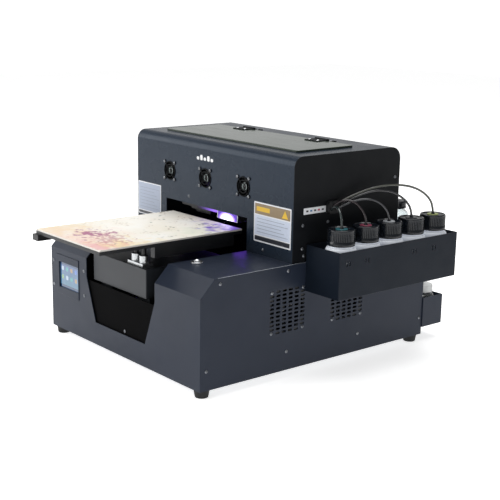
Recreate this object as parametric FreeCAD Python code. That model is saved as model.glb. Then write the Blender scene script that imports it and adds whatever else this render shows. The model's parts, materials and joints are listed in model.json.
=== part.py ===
"""A small flatbed UV printer: a folded-steel base and hood, a table that travels and lifts,
a print carriage on a cross beam, and bulk ink bottles on the right side.

Design frame, in millimetres: +X right, +Y to the back, +Z up. X = 0 is the middle of the base,
Y = 0 is the base's front face and Z = 0 is what the feet stand on. On export everything moves so
that the origin is the middle of the whole machine's footprint.
"""
import FreeCAD, Part
import math
import os

V = FreeCAD.Vector
X_AXIS = V(1, 0, 0)
Y_AXIS = V(0, 1, 0)
Z_AXIS = V(0, 0, 1)

# ---- base
BASE_W = 476.0
BASE_D = 537.0
HALF_W = BASE_W / 2
DECK_Z = 201.0
FRONT_TOP_Z = DECK_Z - 29.5
CHAMFER_RUN = 28.5
SHEET = 1.5
FOLD_R = 2.0
EDGE_R = 0.5
FOOT_H = 14.0
FOOT_R_TOP = 14.0
FOOT_R_BOTTOM = 11.5
FOOT_INSET = 15.5
# ---- channel for the table, and the notch where it opens through the front
CHANNEL_HALF_W = 110.0
CHANNEL_BACK = BASE_D - 17.0
NOTCH_KNEE_Z = DECK_Z - 64.0
NOTCH_FLOOR_HALF_W = 80.0
NOTCH_FLOOR_Z = DECK_Z - 145.0
TROUGH_GAP = 1.0
TROUGH_BACK = CHANNEL_BACK + 2.0
SHIELD_Y = 3.0
SHIELD_TOP_Z = DECK_Z - 70.0
SHIELD_SCREW_X = 13.0
FOLD_GAP = 0.2
BEARING_HALF_W = 15.0
BEARING_Y = (15.0, 25.0)
# ---- hood
HOOD_W = BASE_W - 6.0
HOOD_HALF_W = HOOD_W / 2
HOOD_FRONT = 198.7
HOOD_BACK = BASE_D - 79.8
HOOD_TOP_Z = DECK_Z + 183.5
HOOD_FRONT_R = 18.0
HOOD_REAR_R = 22.0
SLOT_HALF_W = 123.5
SLOT_TOP_Z = DECK_Z + 60.0
TABLE_X = -12.0  # middle of the table, the slot and the row of small fans
# ---- lid in the hood's top
LID_HALF_W = HOOD_HALF_W - 40.0
LID_FRONT = HOOD_FRONT + 41.3
LID_BACK = LID_FRONT + 136.0
LID_T = 3.0
LID_LIFT = 0.4
LID_LAP = 12.0
HINGE_X = 106.0
HINGE_AXIS_Y = LID_BACK + 5.0
HINGE_PIN_R = 1.2
HINGE_KNUCKLE_R = 2.6
HINGE_LEAF_T = 1.4
HINGE_SCREW = 11.0
# ---- small front fans
FAN_PITCH = 111.9
FAN_Z = HOOD_TOP_Z - 68.6
FAN_SIZE = 40.0
FAN_DEPTH = 10.0
FAN_SCREW = 16.0
# ---- side fans and their grilles
SIDE_FAN_Y = (187.0, 330.0)
SIDE_FAN_Z = DECK_Z - 79.0
SIDE_FAN_SIZE = 80.0
SIDE_FAN_DEPTH = 25.0
SIDE_FAN_SCREW = 35.75
VENT_COLUMNS = 6
VENT_ROWS = 11
VENT_PITCH_Y = 14.0
VENT_PITCH_Z = 7.3
VENT_SLOT_L = 10.0
VENT_SLOT_H = 4.2
# ---- display and start button
DISPLAY_X = 61.0 - HALF_W
DISPLAY_Z = DECK_Z - 78.5
DISPLAY_W = 80.0
DISPLAY_H = 77.0
SCREEN_W = 70.0
SCREEN_H = 50.0
BEZEL_T = 5.0
BUTTON_AT = (HALF_W - 107.0, 73.0)
BUTTON_R = 6.0
BUTTON_FIT = 0.3
BUTTON_FLANGE_R = 11.0
# ---- ink box, bottles and tubes
INK_BOX_OUT = HALF_W + 82.0
INK_BOX_FRONT = HOOD_FRONT + 28.3
INK_BOX_L = 300.0
INK_BOX_Z = DECK_Z - 51.0
INK_BOX_H = 82.0
BOTTLES = 5
BOTTLE_PITCH = (INK_BOX_L - 9.0) / BOTTLES
BOTTLE_X = HALF_W + 50.0
BOTTLE_R = 27.0
BOTTLE_SHOULDER_Z = INK_BOX_Z + 78.0
CAP_R = 24.0
CAP_H = 28.0
CAP_TOP_Z = INK_BOX_Z + 115.0
CAP_WALL = 3.0
FITTING_R = 3.0
FITTING_H = 3.0
TUBE_R = 2.0
GLAND_OUT = 8.0
GLAND_AT = (HOOD_FRONT + 90.3, CAP_TOP_Z + 26.5)
GLAND_SIZE = (30.0, 22.0)
GLAND_RIM = 4.0
# ---- clear bottles for coolant and waste, and the waste holder behind the base
CLEAR_R = 24.0
CLEAR_H = 62.0
CLEAR_LID_R = 20.0
CLEAR_LID_H = 14.0
COOLANT_AT = (HALF_W - 38.0, BASE_D - 48.0)
WASTE_X = HALF_W - 26.0
HOLDER_X = (WASTE_X - 34.0, WASTE_X + 28.0)
HOLDER_D = 56.0
HOLDER_Z = (28.0, 86.0)
WASTE_GLAND_Z = 136.0
# ---- table
LIFT_TRAVEL = 20.0
PLATEN_W = 212.0
PLATEN_L = 300.0
PLATEN_FRONT = -96.0
PLATEN_T = 6.0
BOARD_T = 3.0
BOARD_TOP_Z = DECK_Z + 36.5
BOARD_INSET = 0.5
STOP_OUT = 5.0
SLED_HALF_W = 85.0
SLED_FRONT = 8.0
SLED_L = 172.0
SLED_TOP_Z = DECK_Z - 15.0
APRON_Z = SLED_TOP_Z - 52.0
SLED_T = 2.5
SHELF_Z = SLED_TOP_Z - 26.0
SLED_NUT_Y = SLED_FRONT + 132.0
SLED_NUT_L = 14.0
RAIL_SPREAD = 60.0
RAIL_R = 8.0
RAIL_Z = APRON_Z - 22.0
RAIL_FIT = 0.1
RAIL_ENDS_Y = (15.0, CHANNEL_BACK - 5)
RAIL_WEB = 8.0
RAIL_FOOT = 34.0
RAIL_FOOT_T = 4.0
SCREW_R = 6.0
SCREW_NOSE_R = 4.0
SCREW_Z = APRON_Z - 50.0
SCREW_GAP = 0.4
LIFT_AT_Y = SLED_FRONT + 87.0
LIFT_SCREW_R = 4.0
LIFT_SCREW_Z = SLED_TOP_Z - 49.0
LIFT_MOTOR_L = 34.0
POST_R = 4.0
POST_FIT = 0.1
GUIDES_AT = ((TABLE_X + 44, SLED_FRONT + 16.0), (TABLE_X - 44, SLED_FRONT + SLED_L - 16.0))
GUIDE_POST_DX = 12.0
GUIDE_BASE = (46.0, 22.0, 5.0)
GUIDE_SLEEVE_R = 8.5
GUIDE_SLEEVE_H = 18.0
BAR_OUT = 92.0
BAR_W = 12.0
BAR_Z = BOARD_TOP_Z - 28.5
# ---- print carriage
BEAM_Y = HOOD_FRONT + 113.3
BEAM_T = 3.0
BEAM_DEPTH = 30.0
RAIL_Y = BEAM_Y - 27.0
CARRIAGE_RAIL_Z = HOOD_TOP_Z - 84.5
CARRIAGE_RAIL_R = 6.0
CARRIAGE_X = (-105.0, 5.0)
CARRIAGE_Y = (RAIL_Y - 72.0, RAIL_Y + 11.0)
CARRIAGE_Z = (BOARD_TOP_Z + 14.5, CARRIAGE_RAIL_Z + 11.0)
HEAD_GAP = 3.0
LAMP_W = 60.0
LAMP_FINS = 10
LAMP_FIN_T = 2.5
PULLEY_X = HOOD_HALF_W - 30.0
PULLEY_Z = CARRIAGE_RAIL_Z + 26.0
PULLEY_R = 7.5
BELT_T = 1.5
BELT_W = 6.0
BELT_GAP = 0.3
MOTOR_SIZE = 42.0
MOTOR_L = 38.0
SHAFT_R = 2.5
SHAFT_GAP = 0.3
# ---- case screws
SCREW_HEAD_R = 3.0
SCREW_HEAD_H = 1.6
SCREW_SHANK_R = 1.5
SCREW_HOLE_R = 1.7
HEAD_CLEARANCE = 0.6

HOLDER_BACK = BASE_D + HOLDER_D
PLATEN_TOP_Z = BOARD_TOP_Z - BOARD_T
PLATEN_UNDER_Z = PLATEN_TOP_Z - PLATEN_T
BELT_Y = BEAM_Y - 10.0
SHIFT = V(-(INK_BOX_OUT - HALF_W - SCREW_HEAD_H) / 2, -(HOLDER_BACK + PLATEN_FRONT - STOP_OUT) / 2, 0)

parts = {}


# ---- helpers

def box(x0, x1, y0, y1, z0, z1):
    """A block between two corners, with its edges along the axes."""
    return Part.makeBox(x1 - x0, y1 - y0, z1 - z0, V(x0, y0, z0))


def rod(start, axis, radius, length):
    """A round bar from start along axis."""
    return Part.makeCylinder(radius, length, V(*start), axis)


def ring(start, axis, outer, inner, length):
    """A round sleeve from start along axis."""
    return rod(start, axis, outer, length).cut(rod(start, axis, inner, length))


def prism(points, direction):
    """A closed outline swept straight along a vector."""
    corners = [V(*p) for p in points]
    return Part.Face(Part.makePolygon(corners + [corners[0]])).extrude(direction)


def join(shapes):
    """Several touching shapes as one solid."""
    return shapes[0].multiFuse(shapes[1:]).removeSplitter()


def group(shapes):
    """Separate solids in one node."""
    return Part.makeCompound(shapes)


def soften(shape, radius, wanted):
    """Round the edges for which wanted(edge) is true."""
    edges = [e for e in shape.Edges if wanted(e)]
    return shape.makeFillet(radius, edges)


def along(axis):
    """A test for straight edges that run along an axis."""
    def test(edge):
        a, b = edge.Vertexes[0].Point, edge.Vertexes[-1].Point
        return (b - a).Length > 0.5 and (b - a).cross(axis).Length < 1e-6 * (b - a).Length
    return test


def on_plane(axis, level):
    """A test for edges that lie in the plane where one coordinate ("x", "y" or "z") has a value."""
    def test(edge):
        return all(abs(getattr(v.Point, axis) - level) < 1e-4 for v in edge.Vertexes)
    return test


def moved(shape, x=0.0, y=0.0, z=0.0):
    """A copy of a shape, moved."""
    copy = shape.copy()
    copy.translate(V(x, y, z))
    return copy


# ---- screws: a domed head on the sheet and a shank through it

screws = []


def screw_at(place, outward, depth=SHEET):
    """Add one case screw and return the hole that it needs."""
    out = V(*outward)
    start = V(*place)
    head = Part.makeCylinder(SCREW_HEAD_R, SCREW_HEAD_H, start, out)
    rim = [e for e in head.Edges if (e.CenterOfMass - start).dot(out) > SCREW_HEAD_H * 0.9]
    head = head.makeFillet(SCREW_HEAD_H * 0.6, rim)
    shank = Part.makeCylinder(SCREW_SHANK_R, depth, start - out * depth, out)
    screws.append(join([head, shank]))
    return Part.makeCylinder(SCREW_HOLE_R, depth * 2, start - out * depth * 1.5, out)


# ---- base

def base_profile(inset=0.0, back=BASE_D):
    """The base's side outline as (y, z), optionally set in from front, chamfer and deck."""
    slope = math.atan2(DECK_Z - FRONT_TOP_Z, CHAMFER_RUN)
    low = inset * math.tan((math.pi / 2 - slope) / 2)
    high = inset * math.tan(slope / 2)
    return [
        (inset, FOOT_H),
        (inset, FRONT_TOP_Z - low),
        (CHAMFER_RUN + high, DECK_Z - inset),
        (back, DECK_Z - inset),
    ]


def notch_prism(y0, y1):
    """The notch in the front: wide and upright above the knee, tapering below it."""
    return prism(
        [
            (-CHANNEL_HALF_W, y0, DECK_Z + 1),
            (-CHANNEL_HALF_W, y0, NOTCH_KNEE_Z),
            (-NOTCH_FLOOR_HALF_W, y0, NOTCH_FLOOR_Z),
            (NOTCH_FLOOR_HALF_W, y0, NOTCH_FLOOR_Z),
            (CHANNEL_HALF_W, y0, NOTCH_KNEE_Z),
            (CHANNEL_HALF_W, y0, DECK_Z + 1),
        ],
        V(0, y1 - y0, 0),
    )


def make_deck_cover():
    """Front face, chamfer and deck, folded from one sheet."""
    x0 = -HALF_W + SHEET
    outer = base_profile()
    inner = base_profile(SHEET)
    outline = [(x0, y, z) for y, z in outer + inner[::-1]]
    cover = prism(outline, V(BASE_W - 2 * SHEET, 0, 0))
    folds = [(0, FRONT_TOP_Z), (CHAMFER_RUN, DECK_Z)]
    def outer_fold(e):
        at = (e.CenterOfMass.y, e.CenterOfMass.z)
        return along(X_AXIS)(e) and any(math.dist(at, fold) < 0.01 for fold in folds)
    cover = soften(cover, FOLD_R, outer_fold)
    cover = cover.cut(notch_prism(-1, CHAMFER_RUN + 5))
    cover = cover.cut(box(-CHANNEL_HALF_W, CHANNEL_HALF_W, CHAMFER_RUN, CHANNEL_BACK, DECK_Z - 5, DECK_Z + 1))
    window = box(
        DISPLAY_X - DISPLAY_W / 2, DISPLAY_X + DISPLAY_W / 2, -1, SHEET + 1,
        DISPLAY_Z - DISPLAY_H / 2, DISPLAY_Z + DISPLAY_H / 2,
    )
    cover = cover.cut(window)
    cover = cover.cut(rod((*BUTTON_AT, DECK_Z - 3), Z_AXIS, BUTTON_R + 2, 6))
    holes = [
        screw_at((DISPLAY_X + dx, 0, DISPLAY_Z + dz), (0, -1, 0)) for dx in (-53, 58) for dz in (-24.5, 22.5)
    ]
    return cover.cut(group(holes))


def vent_slots(x, y_mid, z_mid):
    """One grille: rows of round-ended slots with the corner slots left out."""
    slots = []
    for column in range(VENT_COLUMNS):
        for row in range(VENT_ROWS):
            edge_column = column in (0, VENT_COLUMNS - 1)
            edge_row = row in (0, VENT_ROWS - 1)
            if edge_column and edge_row:
                continue
            y = y_mid + (column - (VENT_COLUMNS - 1) / 2) * VENT_PITCH_Y
            z = z_mid + (row - (VENT_ROWS - 1) / 2) * VENT_PITCH_Z
            run = VENT_SLOT_L / 2 - VENT_SLOT_H / 2
            r = VENT_SLOT_H / 2
            slot = box(x - 3, x + 3, y - run, y + run, z - r, z + r)
            ends = [rod((x - 3, y + s * run, z), X_AXIS, r, 6) for s in (-1, 1)]
            slots.append(slot.multiFuse(ends))
    return slots


def side_screw_places():
    """Where each side panel is screwed, as (y, z)."""
    top = [(y, DECK_Z - 9.5) for y in (40, 187, 355, BASE_D - 22)]
    bottom = [(y, FOOT_H + 34) for y in (13, 187, 361, BASE_D - 8)]
    return top + bottom


def side_panel(side):
    """A flat side panel, screwed on along its top and bottom."""
    x0 = HALF_W - SHEET if side > 0 else -HALF_W
    outline = [(x0, y, z) for y, z in base_profile()] + [(x0, BASE_D, FOOT_H)]
    face_x = side * HALF_W
    panel = soften(prism(outline, V(SHEET, 0, 0)), EDGE_R, on_plane("x", face_x))
    cuts = [screw_at((face_x, y, z), (side, 0, 0)) for y, z in side_screw_places()]
    fans = SIDE_FAN_Y if side > 0 else SIDE_FAN_Y[:1]
    for fan_y in fans:
        cuts += vent_slots(face_x, fan_y, SIDE_FAN_Z)
        if side > 0:
            s = SIDE_FAN_SCREW
            cuts += [
                screw_at((face_x, fan_y + a * s, SIDE_FAN_Z + b * s), (1, 0, 0))
                for a in (-1, 1) for b in (-1, 1)
            ]
    return panel.cut(group(cuts))


INLET_AT = (63.0 - HALF_W, 110.0)
INLET_HOLE = (30.0, 48.0)
USB_AT = (118.0 - HALF_W, 60.0)
USB_SIZE = (12.0, 11.0)
REAR_VENTS = 9
REAR_VENT_PITCH = 14.0
REAR_VENT_W = 5.0
REAR_VENT_Z = (70.0, 130.0)


def make_rear_panel():
    """The flat back, with openings for the mains inlet, the data socket and the waste tube."""
    y0 = BASE_D - SHEET
    half = HALF_W - SHEET
    panel = box(-half, half, y0, BASE_D, FOOT_H, DECK_Z - SHEET)
    ix, iz = INLET_AT
    iw, ih = INLET_HOLE
    ux, uz = USB_AT
    uw, uh = USB_SIZE
    cuts = [
        box(ix - iw / 2, ix + iw / 2, y0 - 1, BASE_D + 1, iz - ih / 2, iz + ih / 2),
        box(ux - uw / 2 - 1, ux + uw / 2 + 1, y0 - 1, BASE_D + 1, uz - uh / 2 - 1, uz + uh / 2 + 1),
        rod((WASTE_X, y0 - 1, WASTE_GLAND_Z), Y_AXIS, 3.5, 4),
    ]
    for x in (13 - HALF_W, -75, 75, HALF_W - 13):
        for z in (FOOT_H + 10, DECK_Z - 12):
            cuts.append(screw_at((x, BASE_D, z), (0, 1, 0)))
    for i in range(REAR_VENTS):
        x = (i - (REAR_VENTS - 1) / 2) * REAR_VENT_PITCH
        cuts.append(box(x - REAR_VENT_W / 2, x + REAR_VENT_W / 2, y0 - 1, BASE_D + 1, *REAR_VENT_Z))
    return panel.cut(group(cuts))


def make_floor_pan():
    """The bottom sheet that carries the feet, the trough and the electronics."""
    half = HALF_W - SHEET
    return box(-half, half, SHEET, BASE_D - SHEET, FOOT_H, FOOT_H + SHEET)


def make_feet():
    """Four tapered rubber feet."""
    feet = []
    for sx in (-1, 1):
        for y in (FOOT_INSET, BASE_D - FOOT_INSET):
            at = V(sx * (HALF_W - FOOT_INSET), y, 0)
            feet.append(Part.makeCone(FOOT_R_BOTTOM, FOOT_R_TOP, FOOT_H, at, Z_AXIS))
    return group(feet)


def make_table_trough():
    """The lining of the table's channel: walls, floor, back, a low front shield and a screw bearing."""
    inner = CHANNEL_HALF_W + TROUGH_GAP
    outer = inner + SHEET
    top = DECK_Z - SHEET
    foot = FOOT_H + SHEET
    walls = [box(x, x + SHEET, SHEET, TROUGH_BACK, foot, top) for x in (-outer, inner)]
    floor = box(-outer, outer, SHEET, TROUGH_BACK, NOTCH_FLOOR_Z - SHEET, NOTCH_FLOOR_Z)
    back = box(-outer, outer, TROUGH_BACK, TROUGH_BACK + SHEET, foot, top)
    shield = box(-outer, outer, SHIELD_Y, SHIELD_Y + SHEET, NOTCH_FLOOR_Z - SHEET, SHIELD_TOP_Z)
    front, rear = BEARING_Y
    w = BEARING_HALF_W
    seat = box(TABLE_X - w, TABLE_X + w, front, rear, NOTCH_FLOOR_Z, SCREW_Z + w)
    seat = seat.cut(rod((TABLE_X, front - 1, SCREW_Z), Y_AXIS, SCREW_NOSE_R + SCREW_GAP, rear - front + 2))
    trough = join([*walls, floor, back, shield, seat])
    under_cover = base_profile(SHEET + FOLD_GAP, BASE_D - SHEET) + [(BASE_D - SHEET, FOOT_H)]
    trough = trough.common(prism([(-outer, y, z) for y, z in under_cover], V(2 * outer, 0, 0)))
    return trough.cut(screw_at((SHIELD_SCREW_X, SHIELD_Y, NOTCH_FLOOR_Z + 6), (0, -1, 0)))


# ---- hood

def hood_block(inset):
    """The hood's outline as a solid block, set in from the front, back and top."""
    half = HOOD_HALF_W - SHEET
    block = box(-half, half, HOOD_FRONT + inset, HOOD_BACK - inset, DECK_Z, HOOD_TOP_Z - inset)
    top = HOOD_TOP_Z - inset
    def front_edge(e):
        return along(X_AXIS)(e) and abs(e.CenterOfMass.z - top) < 0.1 and e.CenterOfMass.y < HOOD_BACK - 50
    def rear_edge(e):
        return along(X_AXIS)(e) and abs(e.CenterOfMass.z - top) < 0.1 and e.CenterOfMass.y > HOOD_BACK - 50
    block = soften(block, HOOD_FRONT_R - inset, front_edge)
    return soften(block, HOOD_REAR_R - inset, rear_edge)


def fan_centres():
    """The x of each small fan."""
    return [TABLE_X + i * FAN_PITCH for i in (-1, 0, 1)]


def make_hood_wrap():
    """Front, top and back of the hood, bent from one sheet."""
    half = HOOD_HALF_W
    wrap = hood_block(0).cut(hood_block(SHEET))
    lap = LID_LAP
    cuts = [
        box(-half, half, HOOD_FRONT + SHEET, HOOD_BACK - SHEET, DECK_Z - 1, DECK_Z + 1),
        box(TABLE_X - SLOT_HALF_W, TABLE_X + SLOT_HALF_W,
            HOOD_FRONT - 1, HOOD_FRONT + 3, DECK_Z - 1, SLOT_TOP_Z),
        box(TABLE_X - SLOT_HALF_W, TABLE_X + SLOT_HALF_W, HOOD_BACK - 3, HOOD_BACK + 1, DECK_Z - 1, SLOT_TOP_Z),
        box(
            -LID_HALF_W + lap, LID_HALF_W - lap, LID_FRONT + lap, LID_BACK - lap,
            HOOD_TOP_Z - 3, HOOD_TOP_Z + 1,
        ),
    ]
    for x in fan_centres():
        cuts.append(rod((x, HOOD_FRONT - 1, FAN_Z), Y_AXIS, FAN_SIZE / 2 - 1.5, 4))
        for a in (-1, 1):
            for b in (-1, 1):
                place = (x + a * FAN_SCREW, HOOD_FRONT - GUARD_WIRE, FAN_Z + b * FAN_SCREW)
                cuts.append(screw_at(place, (0, -1, 0), GUARD_WIRE + SHEET))
    for x, z in ((-50, SLOT_TOP_Z + 13.5), (168, DECK_Z + 10), (-168, DECK_Z + 10)):
        cuts.append(screw_at((TABLE_X + x, HOOD_FRONT, z), (0, -1, 0)))
    for x in (20 - half, half - 20):
        for z in (DECK_Z + 12, HOOD_TOP_Z - 40):
            cuts.append(screw_at((x, HOOD_BACK, z), (0, 1, 0)))
    for hinge_x in (-HINGE_X, HINGE_X):
        for dx in (-HINGE_SCREW, HINGE_SCREW):
            place = (hinge_x + dx, HINGE_AXIS_Y + 13, HOOD_TOP_Z + HINGE_LEAF_T)
            cuts.append(screw_at(place, (0, 0, 1), HINGE_LEAF_T + SHEET))
    return wrap.cut(group(cuts))


def make_hood_ends():
    """The two flat end plates of the hood, cut to its outline."""
    outline = hood_block(0)
    plates = []
    for side in (-1, 1):
        x0 = side * HOOD_HALF_W - (SHEET if side > 0 else 0)
        plate = moved(outline, x0 + HOOD_HALF_W - SHEET).common(box(x0, x0 + SHEET, 0, BASE_D, 0, 500))
        face = side * HOOD_HALF_W
        plate = soften(plate, EDGE_R, on_plane("x", face))
        front, back, low = HOOD_FRONT + 21.3, HOOD_BACK - 12.2, DECK_Z + 24
        places = [
            (front, low + 40.5), (front, low), (front + 59, low + 41), (front + 4, low - 13),
            (front + 110, low - 10), (back, low), (back, low + 105),
        ]
        cuts = [screw_at((face, y, z), (side, 0, 0)) for y, z in places]
        if side > 0:
            gy, gz = GLAND_AT
            gw, gh = GLAND_SIZE
            w, h = gw / 2 - GLAND_RIM, gh / 2 - GLAND_RIM
            cuts.append(box(face - 4, face + 4, gy - w, gy + w, gz - h, gz + h))
        plates.append(plate.cut(group(cuts)))
    return group(plates)


def make_lid_panel():
    """A smoked panel that lies over the opening in the hood's top."""
    z0 = HOOD_TOP_Z + LID_LIFT
    panel = box(-LID_HALF_W, LID_HALF_W, LID_FRONT, LID_BACK, z0, z0 + LID_T)
    panel = soften(panel, 6, along(Z_AXIS))
    panel = soften(panel, EDGE_R, on_plane("z", z0 + LID_T))
    holes = []
    for hinge_x in (-HINGE_X, HINGE_X):
        for dx in (-HINGE_SCREW, HINGE_SCREW):
            place = (hinge_x + dx, LID_BACK - 15, z0 + LID_T + HINGE_LEAF_T)
            holes.append(screw_at(place, (0, 0, 1), LID_T + HINGE_LEAF_T))
            lid_screws.append(screws.pop())
    return panel.cut(group(holes))


lid_screws = []
HINGE_W = 34.0
KNUCKLE_L = 10.0
HINGE_AXIS_Z = HOOD_TOP_Z + LID_LIFT + LID_T + HINGE_LEAF_T / 2


def make_hinge_bases():
    """The fixed half of each hinge: a leaf on the hood, a middle knuckle and the pin."""
    bases = []
    for x in (-HINGE_X, HINGE_X):
        x0, x1 = x - HINGE_W / 2, x + HINGE_W / 2
        leaf = box(x0, x1, HINGE_AXIS_Y + 4, HINGE_AXIS_Y + 22, HOOD_TOP_Z, HOOD_TOP_Z + HINGE_LEAF_T)
        web = box(x - KNUCKLE_L / 2, x + KNUCKLE_L / 2, HINGE_AXIS_Y, HINGE_AXIS_Y + 5, HOOD_TOP_Z, HINGE_AXIS_Z)
        knuckle = rod((x - KNUCKLE_L / 2, HINGE_AXIS_Y, HINGE_AXIS_Z), X_AXIS, HINGE_KNUCKLE_R, KNUCKLE_L)
        pin = rod((x - HINGE_W / 2, HINGE_AXIS_Y, HINGE_AXIS_Z), X_AXIS, HINGE_PIN_R, HINGE_W)
        base = join([leaf, web, knuckle, pin])
        holes = [
            rod((x + dx, HINGE_AXIS_Y + 13, HOOD_TOP_Z - 1), Z_AXIS, SCREW_HOLE_R, 4)
            for dx in (-HINGE_SCREW, HINGE_SCREW)
        ]
        bases.append(base.cut(group(holes)))
    return group(bases)


def make_hinge_leaves():
    """The moving half of each hinge: a leaf on the lid and two outer knuckles round the pin."""
    leaves = []
    lid_top = HOOD_TOP_Z + LID_LIFT + LID_T
    gap = 0.5
    for x in (-HINGE_X, HINGE_X):
        leaf = box(x - HINGE_W / 2, x + HINGE_W / 2, LID_BACK - 23, LID_BACK + 1, lid_top, lid_top + HINGE_LEAF_T)
        pieces = [leaf]
        for side in (-1, 1):
            inner = KNUCKLE_L / 2 + gap
            start = x + inner if side > 0 else x - HINGE_W / 2
            length = HINGE_W / 2 - inner
            pieces.append(rod((start, HINGE_AXIS_Y, HINGE_AXIS_Z), X_AXIS, HINGE_KNUCKLE_R, length))
            web = box(start, start + length, LID_BACK, HINGE_AXIS_Y, lid_top, lid_top + HINGE_LEAF_T)
            pieces.append(web)
        shape = join(pieces)
        bore = rod((x - HINGE_W / 2 - 1, HINGE_AXIS_Y, HINGE_AXIS_Z), X_AXIS, HINGE_PIN_R + 0.1, HINGE_W + 2)
        holes = [
            rod((x + dx, LID_BACK - 15, lid_top - 1), Z_AXIS, SCREW_HOLE_R, 4) for dx in (-HINGE_SCREW, HINGE_SCREW)
        ]
        leaves.append(shape.cut(group([bore, *holes])))
    return group(leaves)


# ---- fans

GUARD_WIRE = 1.6


def fan_frame(size, depth, screw):
    """A square fan frame with a round duct and a motor seat on four struts, axis along +Y from 0."""
    half = size / 2
    duct = half - size * 0.028
    seat_r = size * 0.2
    frame = box(-half, half, 0, depth, -half, half)
    frame = soften(frame, size * 0.06, along(Y_AXIS))
    frame = frame.cut(rod((0, -1, 0), Y_AXIS, duct, depth + 2))
    strut = size * 0.03
    seat = rod((0, depth - strut, 0), Y_AXIS, seat_r, strut)
    struts = [
        box(-half + 1, half - 1, depth - strut, depth, -strut / 2, strut / 2),
        box(-strut / 2, strut / 2, depth - strut, depth, -half + 1, half - 1),
    ]
    frame = join([frame, seat, *struts])
    holes = [
        rod((a * screw, -1, b * screw), Y_AXIS, SCREW_HOLE_R, depth + 2) for a in (-1, 1) for b in (-1, 1)
    ]
    return frame.cut(group(holes))


def fan_rotor(size, depth, blades=7):
    """A hub with pitched blades, turning about +Y inside the frame's duct."""
    tip = size / 2 - size * 0.028 - size * 0.02
    hub_r = size * 0.23
    front = depth * 0.08
    back = depth - size * 0.03 - 0.6
    hub = rod((0, front, 0), Y_AXIS, hub_r, back - front)
    middle = (front + back) / 2
    chord = (back - front) / math.sin(math.radians(48)) - size * 0.04
    blade = box(hub_r * 0.7, tip + 4, middle - size * 0.012, middle + size * 0.012, -chord / 2, chord / 2)
    blade.rotate(V(0, middle, 0), X_AXIS, 42)
    pieces = []
    for i in range(blades):
        copy = blade.copy()
        copy.rotate(V(0, 0, 0), Y_AXIS, 360 / blades * i)
        pieces.append(copy)
    limit = rod((0, front, 0), Y_AXIS, tip, back - front)
    return join([hub, *[p.common(limit) for p in pieces]])


def turned_to_side(shape):
    """Turn a fan made along +Y so that its front faces +X."""
    copy = shape.copy()
    copy.rotate(V(0, 0, 0), Z_AXIS, 90)
    return copy


def fan_guard():
    """A wire finger guard: two rings and a centre ring on four legs, in front of y = 0."""
    wire = GUARD_WIRE / 2
    y = -wire
    rings = [Part.makeTorus(r, wire, V(0, y, 0), Y_AXIS) for r in (6.0, 11.5, 17.0)]
    legs = []
    reach = FAN_SCREW * math.sqrt(2)
    for i in range(4):
        angle = math.radians(45 + 90 * i)
        direction = V(math.cos(angle), 0, math.sin(angle))
        legs.append(Part.makeCylinder(wire * 0.9, reach - 9.0, direction * 6.0 + V(0, y, 0), direction))
        eye = (direction.x * reach, -GUARD_WIRE, direction.z * reach)
        legs.append(ring(eye, Y_AXIS, 3.4, SCREW_HOLE_R, GUARD_WIRE))
    return join([*rings, *legs])


# ---- display and button

def make_display_bezel():
    """The frame round the display, proud of the front face, with a recess behind its window."""
    x0 = DISPLAY_X - DISPLAY_W / 2
    z0 = DISPLAY_Z - DISPLAY_H / 2
    frame = box(x0, x0 + DISPLAY_W, -1.2, BEZEL_T + 4, z0, z0 + DISPLAY_H)
    frame = soften(frame, 2.0, along(Y_AXIS))
    frame = soften(frame, EDGE_R, on_plane("y", -1.2))
    window = box(
        DISPLAY_X + 4 - SCREEN_W / 2, DISPLAY_X + 4 + SCREEN_W / 2, -2, BEZEL_T,
        DISPLAY_Z - SCREEN_H / 2, DISPLAY_Z + SCREEN_H / 2,
    )
    pocket = box(
        DISPLAY_X + 4 - SCREEN_W / 2 - 1, DISPLAY_X + 4 + SCREEN_W / 2, 1.8, BEZEL_T + 2.5,
        DISPLAY_Z - SCREEN_H / 2 - 2, DISPLAY_Z + SCREEN_H / 2 + 2,
    )
    return frame.cut(window).cut(pocket)


def make_display_screen():
    """The touch panel, behind the bezel's window."""
    return box(
        DISPLAY_X + 4 - SCREEN_W / 2 - 1, DISPLAY_X + 4 + SCREEN_W / 2, 1.8, BEZEL_T + 2.5,
        DISPLAY_Z - SCREEN_H / 2 - 2, DISPLAY_Z + SCREEN_H / 2 + 2,
    )


def make_button_bezel():
    """A flanged sleeve in the deck that guides the start button."""
    at = (*BUTTON_AT, DECK_Z)
    flange = rod(at, Z_AXIS, BUTTON_FLANGE_R, 2.2)
    flange = soften(flange, 1.2, lambda e: e.CenterOfMass.z > DECK_Z + 2)
    barrel = rod((*BUTTON_AT, DECK_Z - 16), Z_AXIS, BUTTON_R + 2, 17)
    nut = rod((*BUTTON_AT, DECK_Z - SHEET - 3), Z_AXIS, BUTTON_R + 4, 3)
    sleeve = join([flange, barrel, nut])
    return sleeve.cut(rod((*BUTTON_AT, DECK_Z - 13), Z_AXIS, BUTTON_R + BUTTON_FIT, 20))


def make_start_button():
    """A domed plunger that goes down when it is pressed."""
    plunger = rod((*BUTTON_AT, DECK_Z - 10), Z_AXIS, BUTTON_R, 13.5)
    dome = Part.makeSphere(7.5, V(*BUTTON_AT, DECK_Z - 1.0))
    dome = dome.common(rod((*BUTTON_AT, DECK_Z + 2), Z_AXIS, BUTTON_R, 8))
    return join([plunger, dome])


# ---- ink system

INK_SLOTS_AT = (0.07, 0.22, 0.617, 0.79)  # parts of the box's length


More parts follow.
